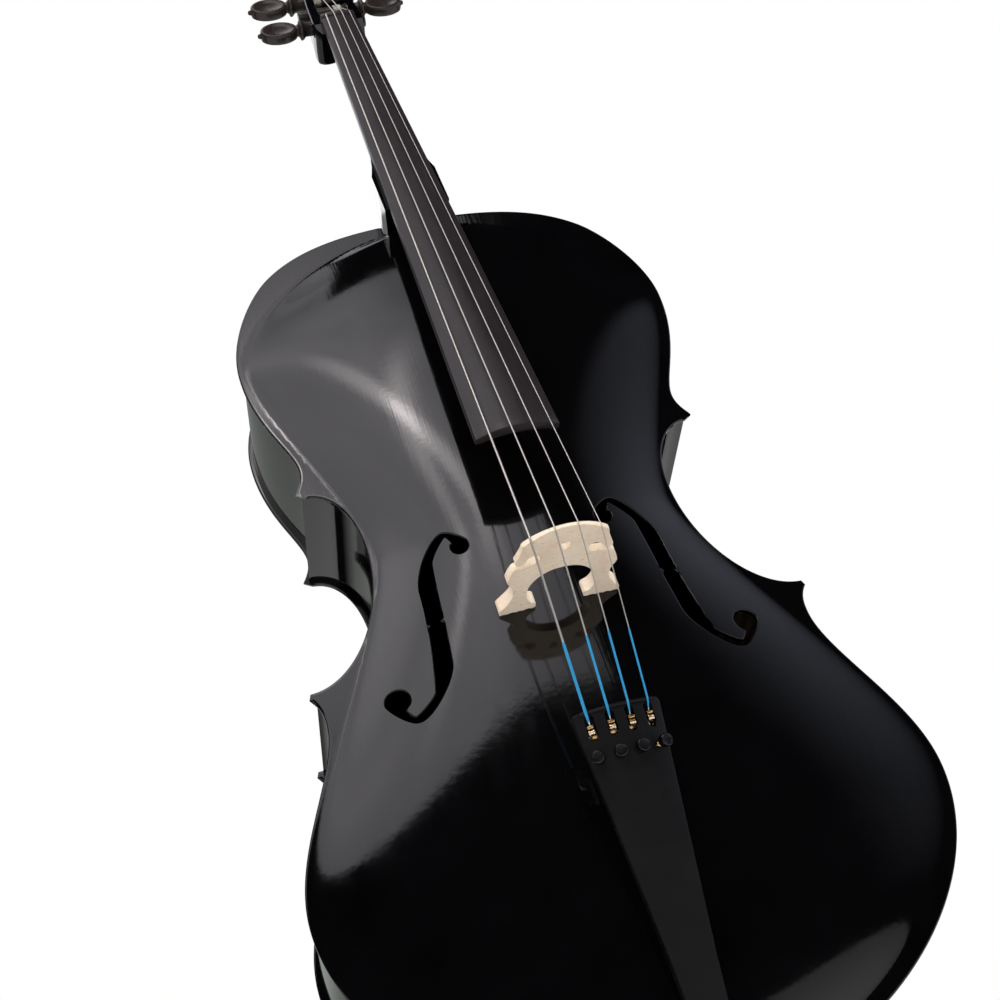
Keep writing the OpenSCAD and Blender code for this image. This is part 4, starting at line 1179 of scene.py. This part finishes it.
silk = Build()
for key in STRINGS:
    route = string_route(key)
    r = STRING_R[key]
    path = eased(route, 1.6)
    rad = np.full(len(path), r)
    rad[-1] = r * 0.6
    Build().tube(path, rad, 18).done(f"wire_{key}", TAPE[key], nodes=[f"string_{key}"], angle=60)
    a, b, c = route[2:]
    toward = (a - b) / np.linalg.norm(a - b)
    down = (c - b) / np.linalg.norm(c - b)
    upper = [b + toward * q for q in np.r_[48, 47, np.linspace(45, 3, 14), 1.8]]
    lower = [b + down * q for q in (1.8, 3, 4.2, 5.4, 6.2)]
    bend = [b + toward * 1.8 * (1 - t) ** 2 + down * 1.8 * t ** 2 for t in (0.3, 0.5, 0.7)]
    grow = [0.02, 0.16] + [0.26] * 18 + [0.24, 0.18, 0.12, 0.06, 0.02]
    silk.tube(np.array(upper + bend + lower), [r + g for g in grow], 16)
silk.done("silk_wraps", SILK, nodes=["string_silk"], angle=60)


# ---------------- tail cord and endpin
def above(start):
    """Places turned parts on the endpin's axis, measured from a height."""
    return lambda p: p + [0, 0, start]


def tail_cord():
    cord_r = 1.8
    loop_r = 12.5 + cord_r + 0.05     # it lies in the collar's groove
    top = tail([[6, 7, -210]])[0]     # its end in the tailpiece
    half = np.array([top, [8, FRONT_Y - 11.5, BODY_Z + 5], [9, FRONT_Y - 10.3, BODY_Z - 2.6]])
    around = stack([arc(0, 0, loop_r, loop_r, 0, 180, 25), np.full(25, BODY_Z - 5.0)])
    ease = eased(np.vstack([half, around[:1]]), 3.0)[:-1]
    path = np.vstack([ease, around, ease[::-1] * [-1, 1, 1]])
    Build().tube(path, cord_r, 16).done("tail_cord_braid", CORD, nodes=["tail_cord"], angle=60)


tail_cord()

BORE_R = 5.05     # the rod's hole, a little wider than the rod
collar = [(BORE_R, -17), (13.6, -17), (15.2, -16.6), (16, -15.6), (16, -8.8), (15.2, -8), (12.9, -7.9),
          (12.5, -7.2), (12.5, -2.6), (12.9, -2.1), (15.4, -2), (16, -1.4), (16, 3.2), (15.0, 4), (BORE_R, 4)]
bore = [(BORE_R, 4), (BORE_R, -17)]
socket = [(13, 4), (13, 37.4), (12.4, 38), (BORE_R, 38), (BORE_R, 4), (13, 4)]
at_body = above(BODY_Z)
Build().lathe(collar, at_body, 64, cap=False).lathe(bore, at_body, 64, cap=False).done(
    "endpin_collar_turned", SOCKET, nodes=["endpin_collar"], angle=40)
Build().lathe(socket, at_body, 48, cap=False).done(
    "endpin_socket_turned", SOCKET, nodes=["endpin_socket"], angle=40)
Build().lathe([(0.1, 15.2), (4.98, 15.2), (4.98, 514.0), (4.4, 514.9), (0.1, 515)], above(0), 48).done(
    "endpin_rod_bar", ROD_STEEL, body="endpin", nodes=["endpin_rod"], angle=40)
tip = [(0.1, 0.0), (6.4, 0.0), (7.0, 0.9), (8.2, 0.9), (8.9, 0.4), (9.0, 1.2), (9.0, 4.2), (8.5, 4.6),
       (8.5, 5.4), (9.0, 5.8), (9.0, 8.6), (8.5, 9.0), (8.5, 9.8), (9.0, 10.2), (9.0, 15.8), (8.7, 16.6),
       (7.3, 20.4), (6.6, 21.0), (5.04, 21.0), (5.04, 15.4)]
Build().lathe(tip, above(0), 56, cap=False).done("endpin_tip_rubber", RUBBER, body="endpin",
                                                 nodes=["endpin_tip"], angle=40)


def sideways(p):
    """Places parts turned round the clamp screw's axis."""
    x, y, z = p.T
    return stack([z, y, BODY_Z - 12.5 - x])


prof = [(0.1, 5.3), (2.0, 5.3), (2.45, 5.9)] + threaded(6.4, 19, 2.48, 2.15, 0.8)
prof += [(2.45, 20.0), (2.45, 23.2), (0.1, 23.3)]
Build().lathe(prof, sideways, 28).done("endpin_screw_shank", ROD_STEEL, body="endpin_screw",
                                       nodes=["endpin_screw"], angle=30)
grip = Build()
grip.lathe([(2.56, 18.0), (5.4, 18.0), (6.0, 18.6), (6.0, 21.6), (5.2, 22.4), (4.4, 26.0), (3.4, 26.9),
            (0.1, 27.0)], sideways, 40)
wings = []
c, s = np.cos(full_turn(36)), np.sin(full_turn(36))
for lift, grow in ((-2.0, 0.9), (-1.7, 0.98), (-0.8, 1.0), (0.8, 1.0), (1.7, 0.98), (2.0, 0.9)):
    px = 11 * np.sign(c) * np.abs(c) ** 0.8 * grow
    bow = 3.4 * np.sign(s) * np.abs(s) ** 0.7 + 0.06 * np.abs(px)
    pz = 23.4 + bow * grow * (0.55 + 0.45 * np.abs(px) / 11)
    wings.append(sideways(stack([np.full(36, lift), px, np.minimum(pz, 27.0)])))
grip.rings(wings)
grip.done("endpin_screw_wings", ROD_STEEL, body="endpin_screw_head", nodes=["endpin_screw_head"],
          angle=40)


# ---------------- CAD solids kept inside the body
for node in ("linings", "corner_blocks", "neck_block", "end_block", "bass_bar", "sound_post"):
    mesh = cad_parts[node].data
    mesh.materials.clear()
    mesh.materials.append(LACQUER[0] if node == "neck_block" else SPRUCE)


# ---------------- studio
MIDDLE = Vector((0, 0, 0.75))
bpy.ops.mesh.primitive_circle_add(vertices=96, radius=9.0, fill_type="NGON", location=(0, 0, 0))
ground = bpy.context.object
ground.name = "studio_floor"
ground.data.materials.append(mottled("studio_floor", 1.4, (2.5, 5, 0.55), (
    (0.2, (0.86, 0.86, 0.855)), (0.8, (0.90, 0.90, 0.895))), (30, 3), (
    (0.3, 0.55), (0.8, 0.7)), (60, 3), 0.05, 0.001))


def softbox(name, centre, aim, width, height, glow, colour, fades=(0.5, 0.5), roll=0, cloudy=0.0, masks=()):
    """Rectangular light with fading edges. Its radiance is glow, made uneven by cloudy and then multiplied by
    each mask: a list of (axis, start, end, low, high) ramps over the place, of which the brightest counts."""
    data = bpy.data.lights.new(name, "AREA")
    data.shape = "RECTANGLE"
    data.size, data.size_y = width, height
    data.energy = glow * math.pi * width * height
    data.color = colour
    data.use_nodes = True
    tree = data.node_tree
    geo = add_node(tree, "NewGeometry").outputs
    share = add_node(tree, "SeparateXYZ", {0: geo["Parametric"]}).outputs
    place = add_node(tree, "SeparateXYZ", {0: geo["Position"]}).outputs
    inwards = [add_math(tree, "PINGPONG", share[axis], 0.5) for axis in (0, 1)]
    level = add_math(tree, "MULTIPLY", *(add_range(tree, d, 0.0, fade) for d, fade in zip(inwards, fades)))
    if cloudy:
        cloud = add_node(tree, "TexNoise", {"Vector": geo["Position"], "Scale": 0.8, "Detail": 4.0})
        uneven = add_range(tree, cloud.outputs["Fac"], 0.3, 0.7, 1 - cloudy / 2, 1 + cloudy / 2, "LINEAR")
        level = add_math(tree, "MULTIPLY", level, uneven)
    for mask in masks:
        steps = [add_range(tree, place[axis], *ramp) for axis, *ramp in mask]
        for other in steps[1:]:
            steps[0] = add_math(tree, "MAXIMUM", steps[0], other)
        level = add_math(tree, "MULTIPLY", level, steps[0])
    tree.links.new(level, tree.nodes["Emission"].inputs["Strength"])
    obj = bpy.data.objects.new(name, data)
    bpy.context.scene.collection.objects.link(obj)
    obj.location = centre
    facing = (Vector(aim) - Vector(centre)).to_track_quat("-Z", "Y").to_matrix()
    obj.rotation_euler = (facing @ Matrix.Rotation(math.radians(roll), 3, "Z")).to_euler()
    obj.visible_camera = False


def direction(azimuth, elevation, distance, start=MIDDLE):
    """Place at an angle from a starting point; azimuth 0 is straight in front, positive to the right."""
    a, e = math.radians(azimuth), math.radians(elevation)
    return start + distance * Vector((math.sin(a) * math.cos(e), -math.cos(a) * math.cos(e), math.sin(e)))


GREY = (1.0, 0.965, 1.02)
WARM = (1.0, 0.93, 0.91)
# the corners that the picture leaves dark lie beyond x = -0.3 on both left cards
CORNER = ("X", -0.34, -0.26, 1.0, 0.0)
DIM = [[("X", -0.2, 0.6, 1.2, 0.7)], [("Z", 1.65, 2.6, 0.78, 1.15)], [("Z", 2.9, 4.4, 1.0, 0.6)]]
softbox("card_front_left", (-0.96, -2.2, 3.535), (-0.96, 0, 3.535), 3.28, 3.77, 2.05, GREY, (0.011, 0.012),
        cloudy=0.5, masks=[[CORNER, ("Z", 4.23, 4.33, 1.0, 0.0)]] + DIM)
softbox("card_over_left", (-1.2, 1.14, 5.41), (-1.2, 1.14, 0), 3.4, 6.72, 1.45, GREY, (0.012, 0.006),
        cloudy=0.5, masks=[[CORNER, ("Y", -0.78, -0.70, 0.0, 1.0)]])
# two crossed strips and a small lamp make the bright cross on the belly
SHINE = Vector((-0.063, -0.08, 0.881))
for name, far, width, height, glow, fades, roll in (
        ("strip_a", 2.7, 1.4, 0.30, 4.4, (0.5, 0.42), -38),
        ("strip_b", 2.68, 1.4, 0.24, 4.2, (0.5, 0.5), 50),
        ("lamp_core", 2.66, 0.26, 0.20, 10.0, (0.5, 0.5), -20)):
    softbox(name, direction(-3.1, 35.9, far, SHINE), SHINE, width, height, glow, WARM, fades, roll)
softbox("card_right", direction(76, 20, 3.2), MIDDLE, 5.6, 2.7, 1.0, (0.80, 0.84, 1.0), (0.5, 0.12))
softbox("card_back", (1.6, 3.4, 1.8), (0, 0, 0.9), 2.6, 2.4, 1.3, (1, 1, 1), (0.4, 0.4))

# the world is white to the camera, pale haze to diffuse rays, and a dark room with a lit back to mirrors
world = bpy.data.worlds.new("studio")
bpy.context.scene.world = world
world.use_nodes = True
tree = world.node_tree
tree.nodes.clear()
rays = add_node(tree, "LightPath").outputs
way = add_node(tree, "SeparateXYZ", {0: add_node(tree, "TexCoord").outputs["Generated"]}).outputs
behind = add_range(tree, way[1], 0.05, 0.55)
higher = add_range(tree, way[2], 0.2, 0.95, 1.0, 0.25, "LINEAR")
lower = add_range(tree, way[2], 0.08, 0.3, kind="LINEAR")
lit = add_math(tree, "MULTIPLY", add_math(tree, "MULTIPLY", behind, higher), lower)
room = add_ramp(tree, lit, (0.0, (0.004, 0.004, 0.005)), (1.0, (0.42, 0.45, 0.42)))
white, room, haze = (add_node(tree, "Background", {"Color": c}).outputs[0]
                     for c in ((1, 1, 1, 1), room, (0.88, 0.88, 0.88, 1)))
dull = add_node(tree, "MixShader", {"Fac": rays["Is Diffuse Ray"], 1: room, 2: haze}).outputs[0]
seen = add_node(tree, "MixShader", {"Fac": rays["Is Camera Ray"], 1: dull, 2: white}).outputs[0]
add_node(tree, "OutputWorld", {"Surface": seen})

bpy.context.scene.view_settings.view_transform = "Standard"
bpy.context.scene.view_settings.look = "None"


# ---------------- camera
lens = bpy.data.cameras.new("camera")
lens.sensor_width = 36.0
lens.lens = 59.82
lens.clip_start = 0.01
lens.clip_end = 100
camera = bpy.data.objects.new("camera", lens)
bpy.context.scene.collection.objects.link(camera)
RIGHT = Vector((0.95854, -0.04444, -0.28146))
AHEAD = Vector((0.1973, 0.81619, 0.54305))
up = RIGHT.cross(AHEAD)
turned = Matrix((RIGHT, up, -AHEAD)).transposed().to_4x4()
camera.matrix_world = Matrix.Translation((-0.2560, -1.0777, 0.1233)) @ turned
bpy.context.scene.camera = camera
